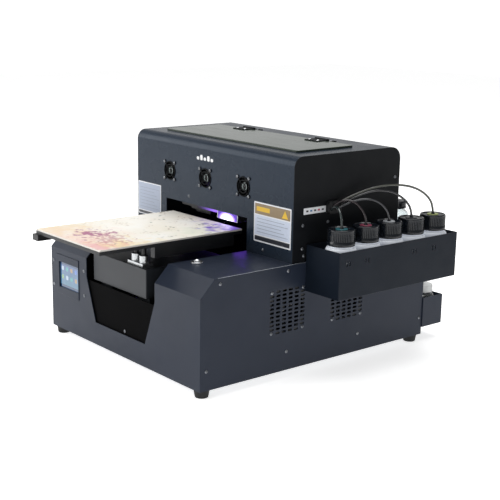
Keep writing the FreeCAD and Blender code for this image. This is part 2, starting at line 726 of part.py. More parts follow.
def make_ink_box():
    """An open-topped folded box that hangs on the right side, with holes over the screws behind it."""
    x0, x1 = HALF_W, INK_BOX_OUT
    y0, y1 = INK_BOX_FRONT, INK_BOX_FRONT + INK_BOX_L
    z0, z1 = INK_BOX_Z, INK_BOX_Z + INK_BOX_H
    outer = soften(box(x0, x1, y0, y1, z0, z1), 1.2, along(Z_AXIS))
    outer = soften(outer, 1.0, on_plane("z", z0))
    tray = outer.cut(box(x0 + SHEET, x1 - SHEET, y0 + SHEET, y1 - SHEET, z0 + SHEET, z1 + 1))
    cuts = []
    for y in [INK_BOX_L * part for part in INK_SLOTS_AT]:
        for dy in (-3.5, 3.5):
            cuts.append(box(x1 - 3, x1 + 1, y0 + y + dy - 1.3, y0 + y + dy + 1.3, z1 - 25, z1 - 17))
    s = SIDE_FAN_SCREW
    fan_screws = [(y + a * s, SIDE_FAN_Z + b * s) for y in SIDE_FAN_Y for a in (-1, 1) for b in (-1, 1)]
    for y, z in side_screw_places() + fan_screws:
        cuts.append(rod((x0 - 1, y, z), X_AXIS, SCREW_HEAD_R + HEAD_CLEARANCE, SHEET + 1.5))
    return tray.cut(group(cuts))


def bottle_centres():
    """The y of each ink bottle, evenly spaced about the middle of the ink box."""
    middle = INK_BOX_FRONT + INK_BOX_L / 2
    return [middle + (i - (BOTTLES - 1) / 2) * BOTTLE_PITCH for i in range(BOTTLES)]


def bottle(radius, neck_r, z0, shoulder_z, neck_z, top_z):
    """A solid of revolution at the origin: straight body, rounded shoulder, straight neck."""
    foot = 3.0
    shoulder = Part.Arc(
        V(radius, 0, shoulder_z - 8),
        V(radius - (radius - neck_r) * 0.25, 0, shoulder_z - 1.5 + (neck_z - shoulder_z) * 0.3),
        V(neck_r, 0, neck_z),
    )
    edges = [
        Part.LineSegment(V(0, 0, z0), V(radius - foot, 0, z0)),
        Part.Arc(
            V(radius - foot, 0, z0),
            V(radius - foot * (1 - math.sin(math.pi / 4)), 0, z0 + foot * (1 - math.cos(math.pi / 4))),
            V(radius, 0, z0 + foot),
        ),
        Part.LineSegment(V(radius, 0, z0 + foot), V(radius, 0, shoulder_z - 8)),
        shoulder,
        Part.LineSegment(V(neck_r, 0, neck_z), V(neck_r, 0, top_z)),
        Part.LineSegment(V(neck_r, 0, top_z), V(0, 0, top_z)),
        Part.LineSegment(V(0, 0, top_z), V(0, 0, z0)),
    ]
    wire = Part.Wire([e.toShape() for e in edges])
    return Part.Face(wire).revolve(V(0, 0, 0), Z_AXIS, 360)


def make_ink_bottles():
    """Five translucent bottles that stand in the ink box."""
    neck_r = CAP_R - CAP_WALL - 0.3
    one = bottle(
        BOTTLE_R, neck_r, INK_BOX_Z + SHEET, BOTTLE_SHOULDER_Z, CAP_TOP_Z - CAP_H - 1.0, CAP_TOP_Z - CAP_WALL,
    )
    return group([moved(one, BOTTLE_X, y) for y in bottle_centres()])


def make_ink_caps():
    """Five screw caps, each with a short tube fitting in the middle of its top."""
    caps = []
    for y in bottle_centres():
        cap = rod((BOTTLE_X, y, CAP_TOP_Z - CAP_H), Z_AXIS, CAP_R, CAP_H)
        cap = soften(cap, 2.0, lambda e: e.CenterOfMass.z > CAP_TOP_Z - 0.5 and e.Length > 20)
        hollow = rod((BOTTLE_X, y, CAP_TOP_Z - CAP_H - 1), Z_AXIS, CAP_R - CAP_WALL, CAP_H - CAP_WALL + 1)
        dish = rod((BOTTLE_X, y, CAP_TOP_Z - 1.0), Z_AXIS, CAP_R - 3.5, 2)
        fitting = rod((BOTTLE_X, y, CAP_TOP_Z - 1.5), Z_AXIS, FITTING_R, FITTING_H + 1.5)
        caps.append(join([cap.cut(hollow).cut(dish), fitting]))
    return group(caps)


def make_tube_glands():
    """The block on the hood's side where the ink tubes leave, and the waste outlet on the back."""
    gy, gz = GLAND_AT
    gw, gh = GLAND_SIZE
    face = HOOD_HALF_W
    block = box(face, face + GLAND_OUT, gy - gw / 2, gy + gw / 2, gz - gh / 2, gz + gh / 2)
    block = soften(block, 4.0, along(X_AXIS))
    w, h = gw / 2 - GLAND_RIM, gh / 2 - GLAND_RIM
    plug = box(face - SHEET, face, gy - w, gy + w, gz - h, gz + h)
    ink = join([block, plug])
    waste = join([
        rod((WASTE_X, BASE_D, WASTE_GLAND_Z), Y_AXIS, 7.0, 3.0),
        rod((WASTE_X, BASE_D - SHEET, WASTE_GLAND_Z), Y_AXIS, 3.5, SHEET + 8.0),
    ])
    return group([ink, waste])


# Each ink tube's route, from the gland to the fitting on its own cap. Every point is measured
# from the gland's face, from the ink box's front and from the fittings' tops.
GLAND_FACE = HOOD_HALF_W + GLAND_OUT
TUBE_END_Z = CAP_TOP_Z + FITTING_H
INK_ROUTES = [
    [(0, 52, 19.5), (8.5, 48.5, 26.2), (18.8, 44.3, 28.9), (29.2, 40.1, 27), (38, 36.5, 20.6),
     (43.5, 34.2, 11), (45, 33.6, 0)],
    [(0, 56, 25.5), (6.5, 61.5, 33.5), (14.5, 69, 37.5), (23.5, 77.5, 36.5), (32, 84, 30),
     (39.5, 88.8, 19.5), (43.5, 91.2, 9), (45, 91.8, 0)],
    [(0, 63, 19.5), (6, 76, 27), (13, 91.5, 33), (21, 107.5, 36.3), (29, 122.5, 35), (36, 135, 28.5),
     (41, 143.5, 18.5), (44, 148.4, 9), (45, 150, 0)],
    [(0, 72.5, 27.2), (5.5, 88, 34.2), (11, 107, 41), (17, 129, 47), (23, 152, 48), (30, 173.5, 43),
     (37, 190.5, 33.5), (42, 201.5, 21.5), (44.5, 206.8, 10.3), (45, 208.2, 0)],
    [(0, 63, 29), (4, 83, 37.5), (9, 108, 45.5), (14.5, 135, 52), (20, 163, 55), (25.5, 190.5, 54.5),
     (31, 217.5, 50), (36.5, 240.5, 40.5), (41.5, 256.5, 27.5), (44.3, 264.5, 13.8), (45, 266.4, 0)],
]
# The waste tube's route, measured from the gland on the back and from its own gland's height.
WASTE_ROUTE = [
    (0, 8, 0), (0.4, 15, 0.3), (0.9, 22, -2.4), (1.1, 26.8, -8), (0.6, 28.2, -15), (0, 28, -21.5),
]


def tube(name, start_of_frame, points, radius):
    """A round tube along straight runs joined by tangent arcs. Prints its radii and checks its volume."""
    corners = [V(*p) + start_of_frame for p in points]
    edges = []
    radii = []
    start = corners[0]
    length = 0.0
    for before, here, after in zip(corners, corners[1:], corners[2:]):
        into = here - before
        out = after - here
        shorter = min(into.Length, out.Length)
        reach = 0.45 * shorter
        turn = into.getAngle(out)
        a = here - into.normalize() * reach
        b = here + out.normalize() * reach
        bend = reach / math.tan(turn / 2)
        radii.append(bend)
        chord_middle = (a + b) * 0.5
        towards = (chord_middle - here).normalize()
        top = here + towards * (bend / math.cos(turn / 2) - bend)
        edges.append(Part.LineSegment(start, a).toShape())
        edges.append(Part.Arc(a, top, b).toShape())
        start = b
    edges.append(Part.LineSegment(start, corners[-1]).toShape())
    path = Part.Wire(edges)
    for edge in path.Edges:
        length += edge.Length
    direction = corners[1] - corners[0]
    section = Part.Wire(Part.makeCircle(radius, corners[0], direction))
    shape = path.makePipeShell([section], True, True)
    ratio = shape.Volume / (math.pi * radius * radius * length)
    print(name, "length", round(length, 1), "least radius", round(min(radii), 1), "volume ratio", round(ratio, 4))
    return shape


# ---- clear bottles

def make_clear_bottles():
    """The coolant bottle on the rear deck and the waste bottle in its holder."""
    top = CLEAR_H + CLEAR_LID_H - 3
    one = bottle(CLEAR_R, CLEAR_LID_R - 3.3, 0, CLEAR_H - 4, CLEAR_H, top)
    return group([moved(one, *place) for place in clear_places()])


def clear_places():
    """Where the coolant bottle and the waste bottle stand."""
    waste_y = BASE_D + HOLDER_D / 2
    return [(*COOLANT_AT, DECK_Z), (WASTE_X, waste_y, HOLDER_Z[0] + SHEET)]


def make_clear_lids():
    """Two black screw lids with a short fitting on top."""
    lids = []
    for x, y, z in clear_places():
        top = z + CLEAR_H + CLEAR_LID_H
        lid = rod((x, y, top - CLEAR_LID_H), Z_AXIS, CLEAR_LID_R, CLEAR_LID_H)
        lid = soften(lid, 1.5, lambda e: e.CenterOfMass.z > top - 0.5 and e.Length > 20)
        lid = lid.cut(rod((x, y, top - CLEAR_LID_H - 1), Z_AXIS, CLEAR_LID_R - 3, CLEAR_LID_H - 2))
        lids.append(join([lid, rod((x, y, top - 1), Z_AXIS, FITTING_R, 1 + LID_NIB_H)]))
    return group(lids)


LID_NIB_H = 9.0


def make_waste_holder():
    """An open-topped box on the back that holds the waste bottle."""
    x0, x1 = HOLDER_X
    z0, z1 = HOLDER_Z
    outer = soften(box(x0, x1, BASE_D, HOLDER_BACK, z0, z1), 1.0, on_plane("y", HOLDER_BACK))
    return outer.cut(box(x0 + SHEET, x1 - SHEET, BASE_D + SHEET, HOLDER_BACK - SHEET, z0 + SHEET, z1 + 1))


# ---- power inlet, rocker and electronics

SUPPLY_SIZE = (98.0, 200.0, 42.0)
SUPPLY_FRONT = 70.0
SUPPLY_GAP = 8.5
SUPPLY_PITCH = 15.0
SUPPLY_HOLE_R = 2.5
BOARD_SIZE = (100.0, 128.0)
BOARD_SHEET = 1.6
BOARD_Z = 50.0
BOARD_GAP = 7.5
ROCKER_AT_Z = INLET_AT[1] + 13.0
ROCKER_TILT = 10.0
ROCKER_HALF_W = 9.0
ROCKER_HALF_H = 6.5
PIVOT_R = 1.2
PIVOT_REACH = 11.0


def make_mains_inlet():
    """A combined mains inlet and switch frame: three pins in a recess below, a window above."""
    ix, iz = INLET_AT
    iw, ih = INLET_HOLE
    flange = box(ix - iw / 2 - 5, ix + iw / 2 + 5, BASE_D, BASE_D + 2.5, iz - ih / 2 - 2, iz + ih / 2 + 2)
    bw, bh = iw / 2 - 0.5, ih / 2 - 0.5
    body = box(ix - bw, ix + bw, BASE_D - 28, BASE_D + 1, iz - bh, iz + bh)
    inlet = join([flange, body])
    recess = box(ix - 12, ix + 12, BASE_D - 15, BASE_D + 4, iz - 20, iz - 3)
    window = box(
        ix - ROCKER_HALF_W - 0.5, ix + ROCKER_HALF_W + 0.5, BASE_D - 14, BASE_D + 4,
        ROCKER_AT_Z - ROCKER_HALF_H - 0.8, ROCKER_AT_Z + ROCKER_HALF_H + 0.8,
    )
    pivot = rod((ix - PIVOT_REACH - 0.5, BASE_D - 2, ROCKER_AT_Z), X_AXIS, PIVOT_R + 0.1, 2 * PIVOT_REACH + 1)
    inlet = inlet.cut(group([recess, window, pivot]))
    pins = [box(ix + dx - 1, ix + dx + 1, BASE_D - 16, BASE_D - 3, iz - 12.5 + dz, iz - 8.5 + dz)
            for dx, dz in ((-7, -2), (0, 3), (7, -2))]
    return join([inlet, *pins])


def make_power_rocker():
    """A rocker with a shallow V face on two pivot pins, tipped towards its on side at rest."""
    ix = INLET_AT[0]
    y_face = BASE_D + 3.2
    z = ROCKER_AT_Z
    profile = [
        (ix - ROCKER_HALF_W, BASE_D - 4, z - ROCKER_HALF_H + 1.6),
        (ix - ROCKER_HALF_W, y_face, z - ROCKER_HALF_H + 0.3),
        (ix - ROCKER_HALF_W, y_face - 1.2, z),
        (ix - ROCKER_HALF_W, y_face, z + ROCKER_HALF_H - 0.3),
        (ix - ROCKER_HALF_W, BASE_D - 4, z + ROCKER_HALF_H - 1.6),
    ]
    pins = rod((ix - PIVOT_REACH, BASE_D - 2, z), X_AXIS, PIVOT_R, 2 * PIVOT_REACH)
    rocker = join([prism(profile, V(2 * ROCKER_HALF_W, 0, 0)), pins])
    rocker.rotate(V(ix, BASE_D - 2, z), X_AXIS, -ROCKER_TILT)
    return rocker


def make_power_supply():
    """A caged power supply on the floor pan, left of the trough."""
    z0 = FOOT_H + SHEET
    w, d, h = SUPPLY_SIZE
    x0, y0 = -HALF_W + SHEET + SUPPLY_GAP, SUPPLY_FRONT
    cage = box(x0, x0 + w, y0, y0 + d, z0, z0 + h)
    columns, rows = int(w / SUPPLY_PITCH) - 1, int(d / SUPPLY_PITCH) - 1
    holes = [
        rod((x0 + (i + 1) * SUPPLY_PITCH, y0 + (j + 1) * SUPPLY_PITCH, z0 + h - 3), Z_AXIS, SUPPLY_HOLE_R, 5)
        for i in range(columns) for j in range(rows)
    ]
    return cage.cut(group(holes))


def make_main_board():
    """The controller board on four pillars, with its data socket in the rear panel's opening."""
    z0 = FOOT_H + SHEET
    x0, y1 = -HALF_W + SHEET + SUPPLY_GAP, BASE_D - SHEET - BOARD_GAP
    x1, y0 = x0 + BOARD_SIZE[0], y1 - BOARD_SIZE[1]
    low, high = BOARD_Z, BOARD_Z + BOARD_SHEET
    board = box(x0, x1, y0, y1, low, high)
    pillars = [rod((x, y, z0), Z_AXIS, 3, low - z0) for x in (x0 + 6, x1 - 6) for y in (y0 + 6, y1 - 6)]
    chips = [
        box(x0 + 28, x0 + 56, y0 + 30, y0 + 58, high, high + 2.4),
        box(x0 + 6, x0 + 23, y0 + 70, y0 + 115, high, high + 12.4),
        box(x0 + 68, x0 + 93, y0 + 20, y0 + 90, high, high + 16.4),
    ]
    ux, uz = USB_AT
    uw, uh = USB_SIZE
    wall = 1.5
    socket = box(ux - uw / 2, ux + uw / 2, BASE_D - 17, BASE_D + 0.5, uz - uh / 2, uz + uh / 2)
    tongue = box(x1 - 2, ux + uw / 2, y1 - 16, y1 + 2, low, uz - uh / 2 + 1)
    hw, hh = uw / 2 - wall, uh / 2 - wall
    hollow = box(ux - hw, ux + hw, BASE_D - 10, BASE_D + 2, uz - hh, uz + hh)
    return join([board, *pillars, *chips, socket.cut(hollow), tongue])


# ---- carriage drive

def make_cross_beam():
    """A channel section across the hood that carries the motor and the idler's stud."""
    half = HOOD_HALF_W - SHEET
    low, high = CARRIAGE_RAIL_Z - 15, CARRIAGE_RAIL_Z + 55
    web = box(-half, half, BEAM_Y, BEAM_Y + BEAM_T, low, high)
    flanges = [box(-half, half, BEAM_Y, BEAM_Y + BEAM_DEPTH, z, z + BEAM_T) for z in (low, high - BEAM_T)]
    stud = rod((-PULLEY_X, BELT_Y - 4, PULLEY_Z), Y_AXIS, SHAFT_R, BEAM_Y - BELT_Y + 5)
    beam = join([web, *flanges, stud])
    return beam.cut(rod((PULLEY_X, BEAM_Y - 1, PULLEY_Z), Y_AXIS, MOTOR_BOSS_R + 0.5, BEAM_T + 2))


def make_carriage_rail():
    """The ground round bar that the carriage slides on."""
    half = HOOD_HALF_W - SHEET
    return rod((-half, RAIL_Y, CARRIAGE_RAIL_Z), X_AXIS, CARRIAGE_RAIL_R, 2 * half)


MOTOR_BOSS_R = 11.0
MOTOR_BOSS_H = 2.0


def motor(x, y_face, z):
    """A square stepper motor with its mounting face at y_face, facing the front, bored for its shaft."""
    h = MOTOR_SIZE / 2
    body = box(x - h, x + h, y_face, y_face + MOTOR_L, z - h, z + h)
    body = soften(body, 4.0, along(Y_AXIS))
    boss = rod((x, y_face - MOTOR_BOSS_H, z), Y_AXIS, MOTOR_BOSS_R, MOTOR_BOSS_H)
    bore = rod((x, y_face - MOTOR_BOSS_H - 1, z), Y_AXIS, SHAFT_R + SHAFT_GAP, 21)
    return join([body, boss]).cut(bore)


SLED_MOTOR_FACE = CHANNEL_BACK - 38.0


def make_stepper_motors():
    """The carriage motor behind the cross beam and the table motor at the back of the trough."""
    return group([
        motor(PULLEY_X, BEAM_Y + BEAM_T, PULLEY_Z),
        motor(TABLE_X, SLED_MOTOR_FACE, SCREW_Z),
    ])


def pulley(x):
    """A flanged belt pulley about +Y at the belt's plane."""
    w = BELT_W / 2
    y = BELT_Y
    drum = rod((x, y - w - 1.5, PULLEY_Z), Y_AXIS, PULLEY_R, BELT_W + 3)
    flanges = [rod((x, y + s, PULLEY_Z), Y_AXIS, PULLEY_R + 2.5, 1.0) for s in (-w - 1.5, w + 0.5)]
    return join([drum, *flanges])


def make_drive_pulley():
    """The driven pulley with the motor shaft that it is pressed on."""
    shaft = rod((PULLEY_X, BELT_Y - 5, PULLEY_Z), Y_AXIS, SHAFT_R, BEAM_Y + BEAM_T + 16 - BELT_Y + 5)
    return join([pulley(PULLEY_X), shaft])


def make_idler_pulley():
    """The free pulley on the cross beam's stud."""
    bore = rod((-PULLEY_X, BELT_Y - 10, PULLEY_Z), Y_AXIS, SHAFT_R + SHAFT_GAP, 20)
    return pulley(-PULLEY_X).cut(bore)


def make_carriage_belt():
    """The toothed belt's loop round both pulleys."""
    inner = PULLEY_R + BELT_GAP
    outer = inner + BELT_T
    y0 = BELT_Y - BELT_W / 2
    def stadium(r):
        middle = box(-PULLEY_X, PULLEY_X, y0, y0 + BELT_W, PULLEY_Z - r, PULLEY_Z + r)
        ends = [rod((s * PULLEY_X, y0, PULLEY_Z), Y_AXIS, r, BELT_W) for s in (-1, 1)]
        return join([middle, *ends])
    return stadium(outer).cut(stadium(inner))


def make_print_carriage():
    """The moulded carriage: a hollow body, the slide bore and a clamp on the lower belt run."""
    x0, x1 = CARRIAGE_X
    y0, y1 = CARRIAGE_Y
    z0, z1 = CARRIAGE_Z
    body = soften(box(x0, x1, y0, y1, z0, z1), 3.0, along(Z_AXIS))
    body = body.cut(box(x0 + 4, x1 - 4, y0 + 4, RAIL_Y - 14, z0 + 6, z1 + 1))
    body = body.cut(rod((x0 - 1, RAIL_Y, CARRIAGE_RAIL_Z), X_AXIS, CARRIAGE_RAIL_R + 0.08, x1 - x0 + 2))
    middle = (x0 + x1) / 2
    run_low = PULLEY_Z - PULLEY_R - BELT_GAP - BELT_T
    run_high = run_low + BELT_T
    back = box(middle - 10, middle + 10, y1 - 3, BELT_Y - BELT_W / 2 - 0.6, z1 - 6, run_high + 3)
    lower = box(middle - 10, middle + 10, y1 - 3, BELT_Y + 2, run_low - 2.9, run_low - 0.4)
    upper = box(middle - 10, middle + 10, y1 - 3, BELT_Y + 2, run_high + 0.4, run_high + 3)
    return join([body, back, lower, upper])


def make_print_head():
    """The print head, under the carriage and just above the board."""
    x0 = CARRIAGE_X[0] + 20
    z1 = CARRIAGE_Z[0]
    y0 = CARRIAGE_Y[0] + 9
    shoulder = box(x0, x0 + 60, y0, y0 + 48, z1 - 6, z1)
    face = box(x0 + 8, x0 + 52, y0 + 6, y0 + 40, BOARD_TOP_Z + HEAD_GAP, z1 - 6)
    return join([shoulder, face])


def make_uv_lamp():
    """The curing lamp beside the carriage, with cooling fins above its window."""
    x0 = CARRIAGE_X[1]
    x1 = x0 + LAMP_W
    y0 = CARRIAGE_Y[0] + 2
    top = CARRIAGE_Z[0] + 16
    body = box(x0, x1, y0, y0 + 57, BOARD_TOP_Z + HEAD_GAP + 1.5, top)
    step = (LAMP_W - LAMP_FIN_T) / (LAMP_FINS - 1)
    starts = [x0 + step * i for i in range(LAMP_FINS)]
    fins = [box(x, x + LAMP_FIN_T, y0 + 2, y0 + 55, top - 1, top + 30) for x in starts]
    return join([body, *fins])


# ---- table

def make_table_rails():
    """Two round bars along the channel on continuous supports."""
    rails = []
    for s in (-1, 1):
        x = TABLE_X + s * RAIL_SPREAD
        y0, y1 = RAIL_ENDS_Y
        bar = rod((x, y0, RAIL_Z), Y_AXIS, RAIL_R, y1 - y0)
        web = box(x - RAIL_WEB / 2, x + RAIL_WEB / 2, y0, y1, NOTCH_FLOOR_Z, RAIL_Z - RAIL_R + 2)
        base = box(x - RAIL_FOOT / 2, x + RAIL_FOOT / 2, y0, y1, NOTCH_FLOOR_Z, NOTCH_FLOOR_Z + RAIL_FOOT_T)
        rails.append(join([bar, web, base]))
    return group(rails)


def guide_posts():
    """The x and y of every lift post."""
    return [(gx + s * GUIDE_POST_DX, gy) for gx, gy in GUIDES_AT for s in (-1, 1)]


def make_table_sled():
    """The travelling sled: top plate, front apron, side walls and four open bearing housings."""
    x0, x1 = TABLE_X - SLED_HALF_W, TABLE_X + SLED_HALF_W
    y0, y1 = SLED_FRONT, SLED_FRONT + SLED_L
    z1 = SLED_TOP_Z
    t = SLED_T
    low = APRON_Z
    pieces = [
        box(x0, x1, y0, y1, z1 - t, z1),
        box(x0, x1, y0, y0 + t, low, z1),
        box(x0, x0 + t, y0, y1, low, z1),
        box(x1 - t, x1, y0, y1, low, z1),
        box(x0, x0 + 50, y0, y1, low, low + t),
        box(x1 - 50, x1, y0, y1, low, low + t),
        box(x0, x1, LIFT_AT_Y - 25, LIFT_AT_Y + 25, SHELF_Z, SHELF_Z + t),
        box(TABLE_X - 13, TABLE_X + 13, SLED_NUT_Y, SLED_NUT_Y + SLED_NUT_L, SCREW_Z - 13, z1),
    ]
    cuts = [rod((TABLE_X, SLED_NUT_Y - 1, SCREW_Z), Y_AXIS, SCREW_R + SCREW_GAP, SLED_NUT_L + 2)]
    for s in (-1, 1):
        x = TABLE_X + s * RAIL_SPREAD
        for y in (y0 + 12, y1 - 54):
            pieces.append(box(x - 19, x + 19, y, y + 42, RAIL_Z - 15, low + 1))
            cuts.append(rod((x, y - 1, RAIL_Z), Y_AXIS, RAIL_R + RAIL_FIT, 44))
            cuts.append(box(x - 6, x + 6, y - 1, y + 43, RAIL_Z - 20, RAIL_Z))
    cuts.append(rod((TABLE_X, LIFT_AT_Y, SHELF_Z - 10), Z_AXIS, NUT_R + 2, 50))
    for x, y in guide_posts():
        cuts.append(rod((x, y, z1 - t - 1), Z_AXIS, POST_R + 1.5, t + 2))
    sled = join(pieces)
    def outer_fold(e):
        middle = e.CenterOfMass
        front_top = along(X_AXIS)(e) and abs(middle.y - y0) < 0.01 and abs(middle.z - z1) < 0.01
        at_side = min(abs(middle.x - x0), abs(middle.x - x1)) < 0.01
        front_end = along(Z_AXIS)(e) and abs(middle.y - y0) < 0.01 and at_side
        return front_top or front_end
    return soften(sled, FOLD_R * 0.7, outer_fold).cut(group(cuts))


def make_lift_guides():
    """Two aluminium guide blocks on the sled, each with two flanged bores for the posts."""
    blocks = []
    z0 = SLED_TOP_Z
    for gx, gy in GUIDES_AT:
        w, d, h = GUIDE_BASE
        base = box(gx - w / 2, gx + w / 2, gy - d / 2, gy + d / 2, z0, z0 + h)
        places = [gx - GUIDE_POST_DX, gx + GUIDE_POST_DX]
        sleeves = [rod((x, gy, z0), Z_AXIS, GUIDE_SLEEVE_R, GUIDE_SLEEVE_H) for x in places]
        block = join([base, *sleeves])
        block = soften(block, EDGE_R, on_plane("z", z0 + GUIDE_SLEEVE_H))
        bores = [rod((x, gy, z0 - 1), Z_AXIS, POST_R + POST_FIT, GUIDE_SLEEVE_H + 4) for x in places]
        blocks.append(block.cut(group(bores)))
    return group(blocks)


NUT_R = 9.0


def make_lift_motor():
    """The lift motor under the sled's shelf, bored for the lift screw."""
    h = MOTOR_SIZE / 2
    body = box(TABLE_X - h, TABLE_X + h, LIFT_AT_Y - h, LIFT_AT_Y + h, SHELF_Z - LIFT_MOTOR_L, SHELF_Z)
    body = soften(body, 4.0, along(Z_AXIS))
    return body.cut(rod((TABLE_X, LIFT_AT_Y, LIFT_SCREW_Z - 2), Z_AXIS, LIFT_SCREW_R + SCREW_GAP, 30))


def make_lift_screw():
    """The short lead screw that raises the table."""
    top = PLATEN_UNDER_Z - LIFT_TRAVEL - 2
    return rod((TABLE_X, LIFT_AT_Y, LIFT_SCREW_Z), Z_AXIS, LIFT_SCREW_R, top - LIFT_SCREW_Z)


def make_sled_screw():
    """The long lead screw with a thinner journal at each end."""
    front = BEARING_Y[1] + 2
    back = SLED_MOTOR_FACE - MOTOR_BOSS_H - 2
    thread = rod((TABLE_X, front, SCREW_Z), Y_AXIS, SCREW_R, back - front)
    nose = rod((TABLE_X, BEARING_Y[0] + 1, SCREW_Z), Y_AXIS, SCREW_NOSE_R, front - BEARING_Y[0])
    tail = rod((TABLE_X, back - 1, SCREW_Z), Y_AXIS, SHAFT_R, 18)
    return join([thread, nose, tail])


def make_platen_frame():
    """The frame under the platen: two bars, a plate with the lift nut, and four posts."""
    y0, y1 = SLED_FRONT + 5, SLED_FRONT + SLED_L + 5
    plate_z = PLATEN_UNDER_Z - 4
    nut_z = SLED_TOP_Z + 4
    bars = [box(x, x + BAR_W, y0, y1, BAR_Z, plate_z + 1) for x in (-BAR_OUT, BAR_OUT - BAR_W)]
    plate = box(-BAR_OUT, BAR_OUT, y0, y1, plate_z, PLATEN_UNDER_Z)
    nut = rod((TABLE_X, LIFT_AT_Y, nut_z), Z_AXIS, NUT_R, plate_z + 1 - nut_z)
    posts = [rod((x, y, SHELF_Z), Z_AXIS, POST_R, plate_z + 1 - SHELF_Z) for x, y in guide_posts()]
    frame = join([plate, *bars, nut, *posts])
    return frame.cut(rod((TABLE_X, LIFT_AT_Y, nut_z - 10), Z_AXIS, LIFT_SCREW_R + SCREW_GAP, 60))


def make_platen():
    """The flat bed plate with a stop block under its front left corner."""
    x0, x1 = TABLE_X - 1.5 - PLATEN_W / 2, TABLE_X - 1.5 + PLATEN_W / 2
    y0 = PLATEN_FRONT
    plate = box(x0, x1, y0, y0 + PLATEN_L, PLATEN_UNDER_Z, PLATEN_TOP_Z)
    plate = soften(plate, 1.5, along(Z_AXIS))
    plate = soften(plate, EDGE_R, on_plane("z", PLATEN_TOP_Z))
    stop = box(x0 - 3, x0 + 16, y0 - STOP_OUT, y0 + 22, PLATEN_UNDER_Z - 11, PLATEN_UNDER_Z)
    return join([plate, stop])


def make_print_board():
    """The flat board that lies on the bed to be printed."""
    x0, x1 = TABLE_X - 1.5 - PLATEN_W / 2, TABLE_X - 1.5 + PLATEN_W / 2
    i = BOARD_INSET
    board = box(x0 + i, x1 - i, PLATEN_FRONT + i, PLATEN_FRONT + PLATEN_L - i, PLATEN_TOP_Z, BOARD_TOP_Z)
    return soften(board, EDGE_R, on_plane("z", BOARD_TOP_Z))


# ---- every node

parts["deck_cover"] = make_deck_cover()
parts["side_panels"] = group([side_panel(-1), side_panel(1)])
parts["rear_panel"] = make_rear_panel()
parts["floor_pan"] = make_floor_pan()
parts["feet"] = make_feet()
parts["table_trough"] = make_table_trough()
parts["hood_wrap"] = make_hood_wrap()
parts["hood_ends"] = make_hood_ends()
parts["lid_panel"] = make_lid_panel()
parts["lid_hinge_bases"] = make_hinge_bases()
parts["lid_hinge_leaves"] = make_hinge_leaves()

small_frame = fan_frame(FAN_SIZE, FAN_DEPTH, FAN_SCREW)
small_rotor = fan_rotor(FAN_SIZE, FAN_DEPTH)
guard = fan_guard()
fan_y = HOOD_FRONT + SHEET
parts["fan_frames"] = group([moved(small_frame, x, fan_y, FAN_Z) for x in fan_centres()])
parts["fan_guards"] = group([moved(guard, x, HOOD_FRONT, FAN_Z) for x in fan_centres()])
for number, x in enumerate(fan_centres(), 1):
    parts[f"fan_rotor_{number}"] = moved(small_rotor, x, fan_y, FAN_Z)
large_frame = turned_to_side(fan_frame(SIDE_FAN_SIZE, SIDE_FAN_DEPTH, SIDE_FAN_SCREW))
large_rotor = turned_to_side(fan_rotor(SIDE_FAN_SIZE, SIDE_FAN_DEPTH))
side_x = HALF_W - SHEET
parts["side_fan_frames"] = group([moved(large_frame, side_x, y, SIDE_FAN_Z) for y in SIDE_FAN_Y])
for number, y in enumerate(SIDE_FAN_Y, 1):
    parts[f"side_fan_rotor_{number}"] = moved(large_rotor, side_x, y, SIDE_FAN_Z)

parts["display_bezel"] = make_display_bezel()
parts["display_screen"] = make_display_screen()
parts["button_bezel"] = make_button_bezel()
parts["start_button"] = make_start_button()
parts["ink_box"] = make_ink_box()
parts["ink_bottles"] = make_ink_bottles()
parts["ink_caps"] = make_ink_caps()
parts["tube_glands"] = make_tube_glands()
for number, route in enumerate(INK_ROUTES, 1):
    name = f"ink_tube_{number}"
    parts[name] = tube(name, V(GLAND_FACE, INK_BOX_FRONT, TUBE_END_Z), route, TUBE_R)
parts["waste_tube"] = tube("waste_tube", V(WASTE_X, BASE_D, WASTE_GLAND_Z), WASTE_ROUTE, TUBE_R)
parts["clear_bottles"] = make_clear_bottles()
parts["clear_bottle_lids"] = make_clear_lids()
parts["waste_holder"] = make_waste_holder()
parts["mains_inlet"] = make_mains_inlet()
parts["power_rocker"] = make_power_rocker()
parts["power_supply"] = make_power_supply()
parts["main_board"] = make_main_board()
parts["cross_beam"] = make_cross_beam()
parts["carriage_rail"] = make_carriage_rail()
parts["stepper_motors"] = make_stepper_motors()
parts["carriage_belt"] = make_carriage_belt()
parts["drive_pulley"] = make_drive_pulley()
parts["idler_pulley"] = make_idler_pulley()
parts["print_carriage"] = make_print_carriage()
parts["print_head"] = make_print_head()
parts["uv_lamp"] = make_uv_lamp()
parts["table_rails"] = make_table_rails()
parts["table_sled"] = make_table_sled()
parts["sled_screw"] = make_sled_screw()
parts["lift_guides"] = make_lift_guides()
parts["lift_motor"] = make_lift_motor()
parts["lift_screw"] = make_lift_screw()
parts["platen_frame"] = make_platen_frame()
parts["platen"] = make_platen()
parts["print_board"] = make_print_board()
parts["case_screws"] = group(screws)
parts["lid_screws"] = group(lid_screws)

os.makedirs("parts", exist_ok=True)
for name, shape in parts.items():
    shape.translate(SHIFT)
    shape.exportStep(f"parts/{name}.step")
print(len(parts), "nodes; origin is at", tuple(round(-v, 3) for v in SHIFT), "of the design frame")
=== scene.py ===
"""The looks of a small flatbed UV printer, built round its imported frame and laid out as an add-on.

Lengths are in metres, +X is the machine's right, +Y its back and +Z up. Places come from the frame.
"""
import json
import math

import bmesh
import bpy
from bpy.props import FloatProperty, FloatVectorProperty, IntProperty, PointerProperty
from mathutils import Euler, Matrix, Vector


